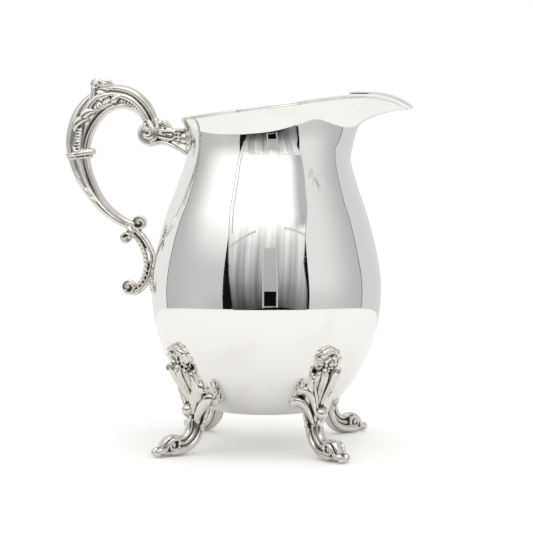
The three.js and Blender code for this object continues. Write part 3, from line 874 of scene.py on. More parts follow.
# %% Thumb rest and ring
def thumb_rest():
    clay = Clay()
    ribbon = [
        (-124.6, 214.5), (-121.6, 219.6), (-118, 224.8), (-115.2, 230.2), (-114.6, 235.4), (-113.2, 238.6)
    ]
    clay.roll(ribbon, [1, 1.7, 2, 2.2, 2.5, 2.6], [5, 5.4, 5.4, 5.2, 5, 4.9], count=50)
    clay.volute((-112.7, 237.6), outer=4.2, y=4.6, inner=0.9, start=2.6, turns=0.8, tube=0.85)
    clay.both([(-109.4, 2.2, 236.2), (-106.4, 3, 237.8), (-103.4, 2.4, 236.6)], [1.3, 2.1, 1.3], 2)
    clay.roll([(-110.5, 234.6), (-106, 235.4), (-100.5, 234.4)], [1.5, 2, 1.2], [3, 3.6, 2.6])
    clay.both([(-108.4, 3.4, 239), (-105.2, 4, 239.4), (-102.6, 3.2, 238)], [0.6, 1, 0.6], 0.9)
    return cast(clay, "handle_thumb_rest", voxel=0.33)


def ring():
    clay = Clay()
    clay.roll(
        [(-132, 190.6), (-129, 191), (-124, 191.8), (-119.8, 192.6), (-116.4, 193)],
        [2.2, 3, 3.3, 3.2, 2.6],
        [4.8, 6, 6.2, 5.6, 4.2],
    )
    # A thin wire under the broad band.
    clay.roll([(-131.8, 188.2), (-124, 188.8), (-117, 189.6)], [0.8, 1.1, 0.9], [5.2, 6.4, 4.8])
    return cast(clay, "handle_ring")


# %% [markdown]
# ## The lower scroll
# A knob, a small curl and a foot curl are joined by two ribbons side by side. The ribbon towards the hand is
# worked with slanted scales, like a rope, and the ribbon towards the body is left plain and bright.

# %% The S-scroll under the grip
def lower_scroll():
    clay = Clay()
    plain = [
        (-91.5, 143), (-87, 140.8), (-82.4, 136.8), (-78.4, 130.6), (-75.9, 124.2), (-76.6, 116.4),
        (-78.8, 108.8), (-83.6, 102.4), (-89.6, 99.6), (-94.2, 101),
    ]
    clay.roll(
        plain,
        [2.2, 2.2, 2.2, 2.1, 2, 2.1, 2.2, 2.2, 2.1, 1.6],
        [3.6, 3.8, 3.8, 3.6, 3.5, 3.6, 3.8, 3.8, 3.6, 3.2],
        count=80,
    )
    worked = [
        (-91, 139.6), (-86.4, 135.6), (-82.6, 129), (-80.6, 121.6), (-80.8, 114), (-83.6, 107.2),
        (-88.2, 102.8),
    ]
    clay.roll(worked, [1.8, 2, 1.9, 1.8, 1.9, 2, 1.6], [2.8, 3, 3, 3, 3, 3, 2.6], count=70)
    set_out_row(clay, worked, count=15, along=0.95, across=2.2, depth=1.2, y=2.9, end_size=0.75, slant=0.7)
    clay.volute((-84.8, 146.2), outer=5.4, y=3.6, inner=1.1, start=3.6, turns=0.9, tube=1.0)
    clay.volute((-94, 136.2), outer=4.4, y=3.4, inner=0.9, start=0.6, turns=0.75, tube=0.85)
    clay.volute((-92, 103.6), outer=5.2, y=3.7, inner=1.1, start=4.2, turns=0.9, tube=0.95)
    clay.roll(
        [(-93.8, 145.4), (-91.4, 142.4), (-90.4, 139), (-92.4, 136.6)],
        [2.6, 2.7, 2.2, 1.8],
        [3.3, 3.5, 3.3, 3],
    )
    clay.both([(-92, 3.2, 142.6), (-89.6, 3.9, 140.4), (-88.6, 3.4, 138)], [0.8, 1.4, 0.8], 1)
    clay.both([(-88.4, 3.2, 143), (-86, 3.8, 140.6), (-84.2, 3.4, 139.6)], [0.8, 1.3, 0.8], 1)
    return cast(clay, "handle_lower_scroll_casting", voxel=0.33)


# %% [markdown]
# ## Where the handle meets the body
# Solder needs area, so each end of the handle spreads into a leafy plate that is filed to the body's curve.
# The `on_body` step does the filing. The bracket has a reeded cuff, a sunk panel and a leaf over it.

# %% Bracket and plates
def bracket():
    clay = Clay()
    # The bar, the strap under it and the leaf over it.
    clay.roll(
        [(-74.6, 204.6), (-68, 204.6), (-60.5, 203), (-54, 202)],
        [3.6, 3.4, 3.4, 4.6],
        [3, 2.9, 3, 4],
        count=40,
    )
    clay.roll(
        [(-74.2, 199.4), (-67, 199), (-60.6, 196.4), (-53, 192)],
        [1.8, 1.8, 1.6, 1.4],
        [3.8, 3.8, 3.9, 4.4],
        count=40,
    )
    clay.roll(
        [(-73.2, 211.6), (-69.4, 211.8), (-64.8, 208.4), (-59.8, 207.2), (-54.6, 207.4)],
        [2, 2, 1.5, 1.3, 1.4],
        [3.2, 3.5, 3.4, 3.4, 4],
        count=40,
    )
    # The two edges of the panel, and a bud where they fork.
    clay.both(
        [(-71.8, 3, 208), (-69.6, 3.5, 207.4), (-66, 3.2, 207), (-62, 3.2, 206.6), (-60.2, 3, 205)],
        [0.8, 1, 0.9, 0.9, 0.7],
        1,
        count=40,
    )
    clay.both(
        [(-72, 3, 203), (-68, 3.2, 201.8), (-63, 3.2, 201.2), (-60.4, 3, 203)],
        [0.8, 1, 0.9, 0.7],
        1,
        count=40,
    )
    clay.both([(-72.6, 2.4, 206), (-70.6, 3.4, 205.4), (-68, 2.6, 204.6)], [0.7, 1.1, 0.5], 1)
    # The reeds of the cuff, and the leaf's curled edge.
    row = [(-58.4, 198.4), (-57.8, 203), (-57.6, 207.6)]
    set_out_row(clay, row, count=5, along=0.85, across=1.9, depth=1.2, y=3.4, end_size=0.8)
    clay.both([(-69.8, 2.2, 213.6), (-67, 3.2, 212.6), (-63.6, 3, 209.8)], [0.6, 1, 0.6], 0.8)
    return cast(clay, "upper_bracket_casting")


# Near the handle the body is about this round, seen from above.
BODY_ROUND = 60


def leaf_plate(name, middle, height, width, leaves):
    """A fan of leaves round a middle point on the body, like an opened flower seen from behind."""
    clay = Clay()

    def place(y, z, off):
        """A point at this height and side that stands off the back of the body."""
        radius = np.interp(z, back_line[:, 2] / MM, back_line[:, 0] / MM)
        lean = neck_lean / MM * smooth_step(z, lean_start / MM, neck_height / MM)
        return lean - radius - off + y * y / (2 * BODY_ROUND), y, z

    spine = [place(0, middle + height * up, off) for up, off in ((-0.8, 0.6), (0, 1.2), (0.8, 0.6))]
    clay.roll(spine, [1.2, 1.6, 1.2], [width * 0.5, width * 0.7, width * 0.5], count=24)
    for k in range(leaves):
        angle = 2 * math.pi * (k + 0.5) / leaves
        out = np.array((math.cos(angle) * width, math.sin(angle) * height))
        path = [
            place(*(out * s + (0, middle)), off)
            for s, off in ((0.25, 1.8), (0.6, 2.2), (0.85, 1.6), (1.0, 0.6))
        ]
        beside = np.cross((1, 0, 0), (0, *out))
        clay.roll(path, [1.2, 1.6, 1.5, 0.8], [0.9, 1.5, 1.6, 0.9], across=beside, count=20)
    return cast(clay, name)


castings = {
    "handle_grip": grip(),
    "handle_thumb_leaf": thumb_rest(),
    "handle_collar": ring(),
    "handle_lower_scroll": lower_scroll(),
    "upper_handle_bracket": bracket(),
    "upper_handle_plate": leaf_plate("upper_plate_casting", middle=202.5, height=11.5, width=9, leaves=10),
    "lower_handle_plate": leaf_plate("lower_plate_casting", middle=111, height=14, width=6.5, leaves=10),
}

# %% [markdown]
# ## The rose on each leg
# A silversmith's rose is rings of cupped petals round a bead. Rings are what Geometry Nodes do best: a tree
# stands one petal on each point of a circle, tips it back, and a little seeded chance keeps the petals from
# looking stamped.

# %% The tree that opens a rose
def rose_tree():
    tree, given, result = new_tree(
        "ring of petals",
        Petals=("Int", 5),
        Ring_Radius=("Float", 0.006),
        Length=("Float", 0.004),
        Width=("Float", 0.004),
        Thickness=("Float", 0.0015),
        Tip_Back=("Float", 0.5),
        Turn=("Float", 0.0),
        Seed=("Int", 3),
    )
    ring = add(
        tree,
        "GeometryNodeCurvePrimitiveCircle",
        {"Resolution": given["Petals"], "Radius": given["Ring Radius"]},
        mode="RADIUS",
    )
    turned = add(tree, "ShaderNodeCombineXYZ", {2: given["Turn"]})
    circle = add(tree, "GeometryNodeTransform", {"Geometry": ring.outputs[0], "Rotation": turned.outputs[0]})
    pip = add(tree, "GeometryNodeMeshUVSphere", {"Segments": 16, "Rings": 10, "Radius": 1.0})
    at = add(tree, "ShaderNodeSeparateXYZ", {0: add(tree, "GeometryNodeInputPosition").outputs[0]})
    # A petal is cupped: its edge rises with the square of the distance from its middle line.
    rise = maths(tree, "MULTIPLY", maths(tree, "MULTIPLY", at.outputs[1], at.outputs[1]), 0.9)
    lip = maths(tree, "MULTIPLY", maths(tree, "POWER", maths(tree, "MAXIMUM", at.outputs[0], 0.0), 3.0), -0.9)
    lift = add(tree, "ShaderNodeCombineXYZ", {2: maths(tree, "ADD", rise, lip)})
    cupped = add(tree, "GeometryNodeSetPosition", {"Geometry": pip.outputs[0], "Offset": lift.outputs[0]})
    size = add(tree, "ShaderNodeCombineXYZ", {0: given["Length"], 1: given["Width"], 2: given["Thickness"]})
    petal = add(tree, "GeometryNodeTransform", {"Geometry": cupped.outputs[0], "Scale": size.outputs[0]})
    tip = add(tree, "ShaderNodeCombineXYZ", {1: given["Tip Back"]})
    tipped = add(tree, "GeometryNodeTransform", {"Geometry": petal.outputs[0], "Rotation": tip.outputs[0]})
    outward = add(tree, "GeometryNodeInputPosition")
    face = add(
        tree, "FunctionNodeAlignRotationToVector", {"Vector": outward.outputs[0]}, axis="X", pivot_axis="Z"
    )
    chance = add(
        tree, "FunctionNodeRandomValue", {2: 0.9, 3: 1.1, "Seed": given["Seed"]}, data_type="FLOAT"
    )
    petals = add(
        tree,
        "GeometryNodeInstanceOnPoints",
        {
            "Points": circle.outputs[0],
            "Instance": tipped.outputs[0],
            "Rotation": face.outputs[0],
            "Scale": chance.outputs[1],
        },
    )
    return end_tree(tree, petals.outputs[0], result)


ROSE = rose_tree()


# %% [markdown]
# ## A leg
# Each leg is a cabriole: it leaves the belly under a rose, narrows to an ankle and ends in a scrolled toe.
# Two fluted stems come down from small volutes under the rose and meet at the bud on the knee, and three
# leaves fan out on each side to hold the belly. It is laid out once, pointing along +X, as rolls of clay.

# %% Where the rose sits on the belly
ROSE_HEIGHT = 64.0
ROSE_TILT = math.radians(22)


def belly_radius_at(height):
    return float(np.interp(height, back_line[:, 2] / MM, back_line[:, 0] / MM))


def rose(clay):
    middle = np.array((belly_radius_at(ROSE_HEIGHT) + 0.6, 0, ROSE_HEIGHT))
    out = np.array((math.cos(ROSE_TILT), 0, -math.sin(ROSE_TILT)))
    up = np.array((math.sin(ROSE_TILT), 0, math.cos(ROSE_TILT)))
    side = np.array((0, 1, 0))

    def stand(height):
        """A move that stands corners on the belly, facing out of it, at a height above its skin."""
        return lambda p: (
            middle + np.outer(p[:, 0], side) + np.outer(p[:, 1], up) + np.outer(p[:, 2] + height, out)
        )

    rings = [
        # petals, ring radius, length, width, thickness, tip back, turn, height
        (5, 6.1, 3.9, 4.1, 1.6, 0.2, 0.3, 2.6),
        (4, 3.3, 2.2, 2.7, 1.1, -0.35, 0.9, 4.4),
    ]
    for seed, (count, radius, length, width, thickness, tip, turn, height) in enumerate(rings):
        seat = new_object("rose_seat", [(0, 0, 0)], [])
        made = run_tree(
            seat,
            ROSE,
            Petals=count,
            Ring_Radius=radius * MM,
            Length=length * MM,
            Width=width * MM,
            Thickness=thickness * MM,
            Tip_Back=tip,
            Turn=turn,
            Seed=seed + 4,
        )
        clay.add_object(made, stand(height))
    spot = lambda y, u, n: tuple(middle + side * y + up * u + out * n)
    mound = [spot(0, 0, n) for n in (-1, 1.2, 3)]
    clay.roll(mound, [7.9, 6.4, 3.4], sides=28, cap=0.5)
    clay.ball(spot(0, 0, 5.2), 1.8)
    # The hood of leaves that arches over the rose.
    hood = [
        spot(8.2 * math.cos(a), -1 + 9.2 * math.sin(a), 1.4 + 0.8 * math.sin(a))
        for a in np.linspace(-0.2, math.pi + 0.2, 9)
    ]
    clay.roll(hood, 1.2, 1.8, across=tuple(out), count=60)
    for a in np.linspace(0.25, math.pi - 0.25, 5):
        y, u = 8.5 * math.cos(a), -0.6 + 9.0 * math.sin(a)
        leaf = [spot(y * 0.72, u * 0.74, 2.8), spot(y * 0.9, u * 0.9, 3.6), spot(y * 1.04, u * 1.04, 1.6)]
        clay.roll(leaf, [0.9, 1.5, 1.0], 1.3, count=16)


# %% Stem, knee, leaves and toe
def stem(clay):
    # The core, from the belly to the toe.
    clay.roll(
        [
            (67, 60), (62.5, 51), (57.6, 42.5), (54.8, 35), (53.6, 27), (54.6, 18), (58.4, 10.6), (65, 6.4),
            (72, 5.6), (78, 5),
        ],
        [3, 4, 4.6, 5.2, 5, 4, 3.9, 4, 4.2, 3.4],
        [5, 5.5, 5, 4.4, 3.8, 3.5, 3.5, 3.6, 4.2, 4.4],
        count=90,
        sides=20,
    )
    # Two fluted stems, from the volutes under the rose to the knee.
    clay.both(
        [
            (74.3, 4.8, 55), (73.6, 5.4, 57.4), (72, 4.6, 58), (71.2, 3.9, 55), (68.6, 3.6, 50),
            (64.4, 2.9, 43.4), (61, 2, 37), (59.4, 1.3, 32),
        ],
        [0.9, 1.3, 1.6, 2, 2.3, 2.1, 1.6, 1.1],
        [1, 1.5, 1.9, 2.4, 2.7, 2.2, 1.6, 1.1],
        count=80,
    )
    clay.both(
        [
            (69.4, 6.4, 56), (68.8, 7.6, 54), (66.8, 7.2, 50.4), (63.6, 5.8, 45), (60.6, 3.8, 38.6),
            (58.8, 2.6, 33),
        ],
        [1.1, 1.6, 1.7, 1.5, 1.2, 0.9],
        [1.2, 1.8, 1.8, 1.5, 1.2, 0.9],
        count=60,
    )
    # The bud on the knee, with its cup.
    clay.roll(
        [(60.4, 31), (62, 29.6), (62.6, 27.6), (61.4, 25)],
        [2.4, 3.4, 3.4, 2],
        [2.6, 3.8, 3.6, 2],
        count=20,
        sides=18,
    )
    # The ridges of the shin, in front and on each side, with a bead on each side.
    clay.roll(
        [(60.6, 25), (60.4, 19.6), (62, 14.4), (66, 11.4), (70.4, 10.8)],
        [1.5, 1.8, 1.9, 1.8, 1.3],
        [2.2, 2.7, 3, 3, 2.6],
        count=50,
    )
    clay.both(
        [
            (50.6, 5.2, 29), (51.8, 4.9, 24), (53.2, 4.4, 17.6), (56.4, 4.2, 10.4), (62.6, 4.2, 5.4),
            (69.6, 4.6, 3.6), (76, 4.8, 3.4),
        ],
        [1.6, 1.8, 1.8, 1.9, 2.1, 2.4, 2.4],
        [1.3, 1.4, 1.3, 1.4, 1.5, 1.6, 1.6],
        count=80,
    )
    clay.both([(52.6, 5.2, 22), (53.6, 5.9, 19.8), (55, 5, 17.8)], [0.9, 1.5, 0.9], 1.1, count=16)
    # The back of the shin, which runs on as the sole.
    clay.roll(
        [(49.4, 30), (50.4, 24), (52.6, 16), (56.4, 8.6), (63, 4.2), (71, 3), (80, 3)],
        [2.2, 2.4, 2.4, 2.6, 2.8, 3, 2.6],
        [4.2, 4, 3.6, 3.6, 3.9, 4.6, 4.2],
        count=80,
    )


def side_leaves(clay):
    leaves = [
        # root at the knee, up the blade, and over to the curled tip on the belly
        (
            [(61, 2.4, 31), (62, 4, 38.4), (63, 5.8, 45), (62.8, 7, 48), (61, 7.2, 48.6)],
            [1.2, 1.8, 2.3, 2.6, 1.6],
        ),
        (
            [(60.4, 3, 27), (60.4, 5.2, 34.6), (60, 7.8, 41), (58, 10.4, 43.4), (55.4, 12, 42)],
            [1.6, 2.8, 4, 4.2, 2.8],
        ),
        (
            [(58, 3.8, 22), (57, 6.4, 28.6), (55, 9.4, 34), (52.4, 12.4, 35.6), (49.8, 14, 33)],
            [1.8, 3.2, 4.4, 4.4, 2.8],
        ),
    ]
    for path, size in leaves:
        clay.both(path, [s * 0.6 for s in size], size, across=(0.6, -0.45, 0.6), count=50, sides=18)
    # The web behind the leaves, which lies on the belly.
    clay.both(
        [(56, 2, 31), (58, 5, 37), (61, 7, 45), (64, 6.6, 52)], [3, 3.4, 3.2, 2.6], [4, 4.6, 4, 3.2], count=30
    )


def toe(clay):
    clay.volute((75.2, 7.4), outer=5.6, y=4.2, inner=1.2, start=2.4, turns=0.95, tube=1.1)
    # The ribbon that wraps the scroll from the shin to the tip, with a crease on each side.
    clay.roll(
        [(66.5, 9.6), (70, 12), (74.8, 12.6), (79, 10.6), (81.4, 7), (82.6, 4.2)],
        [1.2, 1.4, 1.4, 1.5, 1.7, 1.7],
        [2.2, 2.9, 3.2, 3.2, 2.8, 2.4],
        count=50,
    )
    clay.both(
        [(70.6, 4.6, 9.4), (74, 5.2, 11.4), (78.4, 4.8, 9.6), (80.6, 4.4, 6), (82, 4, 3.6)],
        [0.9, 1.2, 1.2, 1.2, 1],
        1.1,
        count=40,
    )
    # The curled tip, and the pad that it stands on.
    clay.both(
        [(81, 2.6, 3.4), (83.6, 2.9, 4.4), (85.7, 2.6, 3.8), (86.4, 2.2, 2.4), (84.4, 2.2, 1.8)],
        [1.7, 2.1, 1.9, 1.5, 1.3],
        [2, 2.4, 2.2, 1.7, 1.4],
        count=30,
    )
    clay.roll([(78, 3), (82.6, 3), (85.6, 2.8)], [2.6, 2.4, 1.8], [4.4, 3.9, 3])


def leg(name, degrees):
    clay = Clay()
    rose(clay)
    stem(clay)
    side_leaves(clay)
    toe(clay)
    # The legs' valleys are darkened further: more oxide in the creases, and more painted shade in the hollows.
    return cast(clay, name, turn=math.radians(degrees), oxide_and_shade=1.35)


# %% Four legs, set round the belly
def direction_of(node):
    """The direction of a packed leg, from the body's axis to the outer corner of its box."""
    low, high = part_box(node)
    far_x = high.x if high.x - axis_x > axis_x - low.x else low.x
    far_y = high.y if high.y > -low.y else low.y
    return math.degrees(math.atan2(far_y, far_x - axis_x))


for leg_node in ("leg_front_left", "leg_front_right", "leg_rear_left", "leg_rear_right"):
    degrees = direction_of(leg_node)
    castings[leg_node] = leg(leg_node + "_casting", degrees)
    print(leg_node, "points", round(degrees, 1), "degrees from the spout")

# %% [markdown]
# ## Finishes
# Silver plate is a mirror where a hand can buff it. On the castings, the creases that it can't reach keep
# their brown-black oxide, and the valleys and broad hollows are painted a matt brown-grey as shade. One metal
# shader could be made per piece, but both finishes share the same wear: hairlines from polishing cloths and
# faint clouds of tarnish. Each of these is a node group, built once and placed in both materials with its
# own values. Numbers that are the same all over are set on the shader itself.

# %% Helpers for shaders
def new_group(name, inputs, outputs):
    group = bpy.data.node_groups.new(name, "ShaderNodeTree")
    for label, kind, value in inputs:
        socket = group.interface.new_socket(label, in_out="INPUT", socket_type="NodeSocket" + kind)
        socket.default_value = value
    for label, kind in outputs:
        group.interface.new_socket(label, in_out="OUTPUT", socket_type="NodeSocket" + kind)
    return group, group.nodes.new("NodeGroupInput").outputs, group.nodes.new("NodeGroupOutput").inputs


def noise(tree, place, scale, detail=2.0, distortion=0.0):
    values = {"Vector": place, "Scale": scale, "Detail": detail, "Distortion": distortion}
    return add(tree, "ShaderNodeTexNoise", values).outputs["Fac"]


def ramp(tree, value, low, high):
    """0 below low, 1 above high, and smooth between them."""
    values = {"Value": value, "From Min": low, "From Max": high}
    return add(tree, "ShaderNodeMapRange", values, interpolation_type="SMOOTHSTEP").outputs[0]


def group_node(tree, group, **values):
    node = tree.nodes.new("ShaderNodeGroup")
    node.node_tree = group
    for label, value in values.items():
        node.inputs[label.replace("_", " ")].default_value = value
    return node


def new_material(name, **values):
    """A material with its tree and its one shader, whose sockets take the given values."""
    material = bpy.data.materials.new(name)
    material.use_nodes = True
    tree = material.node_tree
    shader = next(n for n in tree.nodes if n.type == "BSDF_PRINCIPLED")
    for label, value in values.items():
        shader.inputs[label.replace("_", " ")].default_value = value
    return material, tree, shader


def mixed_colour(tree, share, first, second):
    node = add(tree, "ShaderNodeMix", {0: share, 6: first, 7: second}, data_type="RGBA")
    return node.outputs[2]


# %% Polishing hairlines
STRETCHED = (1.0, 0.02, 1.0)


def hairline_group():
    """Fine scratches in three directions: the height of the surface, and a mask of where they are."""
    group, given, result = new_group(
        "polishing hairlines",
        [("Fineness", "Float", 900.0), ("Amount", "Float", 0.5)],
        [("Height", "Float"), ("Mask", "Float")],
    )
    place = add(group, "ShaderNodeTexCoord").outputs["Object"]
    total = 0.0
    for turn in ((0.3, 0.2, 0.9), (1.2, 0.5, 2.4), (0.1, 1.3, 4.1)):
        values = {"Vector": place, "Rotation": turn, "Scale": STRETCHED}
        turned = add(group, "ShaderNodeMapping", values)
        lines = ramp(group, noise(group, turned.outputs[0], given["Fineness"], 1.0), 0.69, 0.73)
        patches = ramp(group, noise(group, place, 14.0 + 9 * turn[0], 1.0), 0.5, 0.62)
        total = maths(group, "ADD", maths(group, "MULTIPLY", lines, patches), total)
    mask = maths(group, "MULTIPLY", maths(group, "MINIMUM", total, 1.0), given["Amount"])
    group.links.new(maths(group, "MULTIPLY", mask, -1.0), result["Height"])
    group.links.new(mask, result["Mask"])
    return group


# %% Tarnish clouds
def cloud_group():
    """Soft clouds of tarnish, with a few darker specks."""
    group, given, result = new_group(
        "tarnish clouds",
        [("Cloud Size", "Float", 22.0), ("Specks", "Float", 0.5)],
        [("Cloud", "Float"), ("Speck", "Float")],
    )
    place = add(group, "ShaderNodeTexCoord").outputs["Object"]
    cloud = ramp(group, noise(group, place, given["Cloud Size"], 4.0, 0.6), 0.52, 0.78)
    dots = add(group, "ShaderNodeTexVoronoi", {"Vector": place, "Scale": 95.0, "Randomness": 1.0})
    near = ramp(group, dots.outputs["Distance"], 0.045, 0.02)
    pick = add(group, "ShaderNodeSeparateColor", {0: dots.outputs["Color"]}).outputs[0]
    speck = maths(group, "MULTIPLY", near, ramp(group, pick, 0.9, 0.93))
    group.links.new(cloud, result["Cloud"])
    group.links.new(maths(group, "MULTIPLY", speck, given["Specks"]), result["Speck"])
    return group


HAIRLINES = hairline_group()
CLOUDS = cloud_group()
print("wear:", HAIRLINES.name, "and", CLOUDS.name)

# %% [markdown]
# ### Mirror-polished silver
# The body is buffed to a mirror. A perfectly even mirror looks like chrome on plastic, so the sheet keeps
# the faint waves of its hammering, which bend what it reflects, and a few hairlines and specks.

# %% The body's finish
BRIGHT_SILVER = (0.955, 0.95, 0.935, 1)
CLOUDED_SILVER = (0.905, 0.885, 0.845, 1)
TOUCHED_SILVER = (0.66, 0.625, 0.58, 1)
SPECK = (0.36, 0.33, 0.29, 1)
# From the foot of the body's axis.
MARKS_AT = (35 * MM, -41 * MM, 175 * MM)
MARKS_SIZE = 13 * MM


def finger_marks(tree, place):
    """A few tarnished streaks where fingers have touched the silver, in one patch beside the spout."""
    middle = tuple(np.add((axis_x, 0, 0), MARKS_AT))
    away = add(tree, "ShaderNodeVectorMath", {0: place, 1: middle}, operation="DISTANCE").outputs["Value"]
    patch = ramp(tree, away, MARKS_SIZE, MARKS_SIZE * 0.4)
    leaning = {"Vector": place, "Rotation": (0.0, 0.5, 0.0), "Scale": (1.0, 1.0, 0.35)}
    streaks = noise(tree, add(tree, "ShaderNodeMapping", leaning).outputs[0], 190.0, 2.0, 1.0)
    return maths(tree, "MULTIPLY", patch, ramp(tree, streaks, 0.5, 0.68))


def polished_silver():
    material, tree, shader = new_material("polished silver", Metallic=1.0)
    place = add(tree, "ShaderNodeTexCoord").outputs["Object"]
    clouds = group_node(tree, CLOUDS, Cloud_Size=24.0, Specks=0.6)
    lines = group_node(tree, HAIRLINES, Fineness=1500.0, Amount=0.6)
    clouded = mixed_colour(tree, clouds.outputs["Cloud"], BRIGHT_SILVER, CLOUDED_SILVER)
    marked = mixed_colour(tree, finger_marks(tree, place), clouded, TOUCHED_SILVER)
    colour = mixed_colour(tree, clouds.outputs["Speck"], marked, SPECK)
    rough = maths(tree, "MULTIPLY", clouds.outputs["Cloud"], 0.035)
    scratched = maths(tree, "MULTIPLY", lines.outputs["Mask"], 0.1)
    rough = maths(tree, "ADD", maths(tree, "ADD", rough, scratched), 0.025)
    waves = noise(tree, place, 26.0, 1.0)
    hammered = add(tree, "ShaderNodeBump", {"Strength": 0.05, "Distance": 0.001, "Height": waves})
    scored = add(
        tree,
        "ShaderNodeBump",
        {
            "Strength": 0.04,
            "Distance": 0.0001,
            "Height": lines.outputs["Height"],
            "Normal": hammered.outputs[0],
        },
    )
    tree.links.new(colour, shader.inputs["Base Color"])
    tree.links.new(rough, shader.inputs["Roughness"])
    tree.links.new(scored.outputs[0], shader.inputs["Normal"])
    return material


# %% [markdown]
# ### Cast and oxidised silver, with painted shade
# The castings are dipped in a darkening bath and then buffed, so the high parts shine and the creases stay
# brown-black with oxide. The valleys and broad hollows are also painted a matt brown-grey as shade. The
# `recess` attribute says how deep in a valley each corner is. A little noise breaks the edge of the dark, as
# a buffing wheel does.

# %% The castings' finish
CAST_SILVER = (0.82, 0.8, 0.755, 1)
CLOUDED_CAST = (0.66, 0.63, 0.575, 1)
# Painted shade: the brown-grey that the valleys and broad hollows of the castings take.
PAINTED_SHADE_CAST = (0.42, 0.385, 0.325, 1)
OXIDE = (0.07, 0.06, 0.048, 1)


def cast_silver():
    material, tree, shader = new_material("cast silver", Metallic=1.0)
    place = add(tree, "ShaderNodeTexCoord").outputs["Object"]
    recess = add(tree, "ShaderNodeAttribute", attribute_name="recess").outputs["Fac"]
    clouds = group_node(tree, CLOUDS, Cloud_Size=60.0, Specks=0.4)
    lines = group_node(tree, HAIRLINES, Fineness=1800.0, Amount=0.8)
    broken = maths(tree, "ADD", recess, maths(tree, "MULTIPLY", noise(tree, place, 700.0, 3.0), 0.24))
    # Painted shade and oxide: the first mask brings oxide into the deepest creases, the second a painted-shade
    # brown-grey into the valleys and hollows, which it also roughens.
    dark = ramp(tree, broken, 0.62, 1.15)
    dull_and_shade = ramp(tree, broken, 0.2, 0.95)
    clean = mixed_colour(tree, clouds.outputs["Cloud"], CAST_SILVER, CLOUDED_CAST)
    colour = mixed_colour(tree, dark, mixed_colour(tree, dull_and_shade, clean, PAINTED_SHADE_CAST), OXIDE)
    rough = maths(tree, "ADD", maths(tree, "MULTIPLY", dull_and_shade, 0.2), 0.12)
    rough = maths(tree, "ADD", rough, maths(tree, "MULTIPLY", lines.outputs["Mask"], 0.08))
    sand = noise(tree, place, 900.0, 3.0)
    grain = add(tree, "ShaderNodeBump", {"Strength": 0.1, "Distance": 0.0002, "Height": sand})
    tree.links.new(colour, shader.inputs["Base Color"])
    tree.links.new(rough, shader.inputs["Roughness"])
    tree.links.new(grain.outputs[0], shader.inputs["Normal"])
    return material


POLISHED = polished_silver()
CAST = cast_silver()
print("finishes:", POLISHED.name, "and", CAST.name)

# %% [markdown]
# ## Hand each piece to the frame
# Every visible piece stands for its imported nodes, takes a finish, and rides on the one body that the
# pitcher has, because nothing on a soldered pitcher moves.

# %% Dress the pieces
def dress(piece, material, slot, *nodes):
    piece.data.materials.clear()
    piece.data.materials.append(material)
    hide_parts(*nodes)
    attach(piece, "root")


dress(body, POLISHED, "polished_silver", "body_shell", "base_disc")
dress(rim_wire, POLISHED, "polished_silver", "rim_wire")
dress(lip_band, POLISHED, "polished_silver", "spout_lip_band")
for node, casting in castings.items():
    dress(casting, CAST, "cast_silver", node)
print("pieces:", 3 + len(castings))

# %% [markdown]
# ## The studio
# A mirror shows its surroundings and nothing else, so lighting a silver pitcher means building what it
# reflects. A studio hangs a tent of white cloth round silver: two plain walls beside the camera, and a
# gathered cloth in front with a slit for the lens. The tent here is a few curved screens that glow with the
# tones of such a cloth. They are seen only in reflections, and are not part of the pitcher.

# %% The floor and the white room
WHITE = (1, 1, 1, 1)
BLACK = (0, 0, 0, 1)
MATT = {"Roughness": 0.9, "Specular_IOR_Level": 0.0}


def floor_material():
    """Pale, and a touch brighter to the camera than in the silver, so that it has no horizon."""
    pale = (0.9, 0.893, 0.878, 1)
    material, tree, shader = new_material("pale floor", Base_Color=pale, Emission_Color=WHITE, **MATT)
    seen = add(tree, "ShaderNodeLightPath").outputs["Is Camera Ray"]
    tree.links.new(maths(tree, "MULTIPLY", seen, 0.16), shader.inputs["Emission Strength"])
    return material


FLOOR_SIZE = 8
half = FLOOR_SIZE / 2
floor_corners = [(-half, -half, 0), (half, -half, 0), (half, half, 0), (-half, half, 0)]
floor = new_object("studio_floor", floor_corners, [(0, 1, 2, 3)], smooth=False)
floor.data.materials.append(floor_material())

world = bpy.data.worlds.new("white room")
bpy.context.scene.world = world
world.use_nodes = True
world.node_tree.nodes["Background"].inputs["Color"].default_value = WHITE
world.node_tree.nodes["Background"].inputs["Strength"].default_value = 1.0
bpy.context.scene.view_settings.view_transform = "Standard"


# %% Screens that glow with their own tones
CAMERA_AZIMUTH = math.radians(8)
TENT_RADIUS = 0.55
TENT_HEIGHT = 1.4


def glow_material():
    warm = (1, 1, 0.993, 1)
    material, tree, shader = new_material("tent cloth", Base_Color=BLACK, Emission_Color=warm, **MATT)
    tone = add(tree, "ShaderNodeAttribute", attribute_name="tone").outputs["Fac"]
    tree.links.new(tone, shader.inputs["Emission Strength"])
    return material


TENT_CLOTH = glow_material()


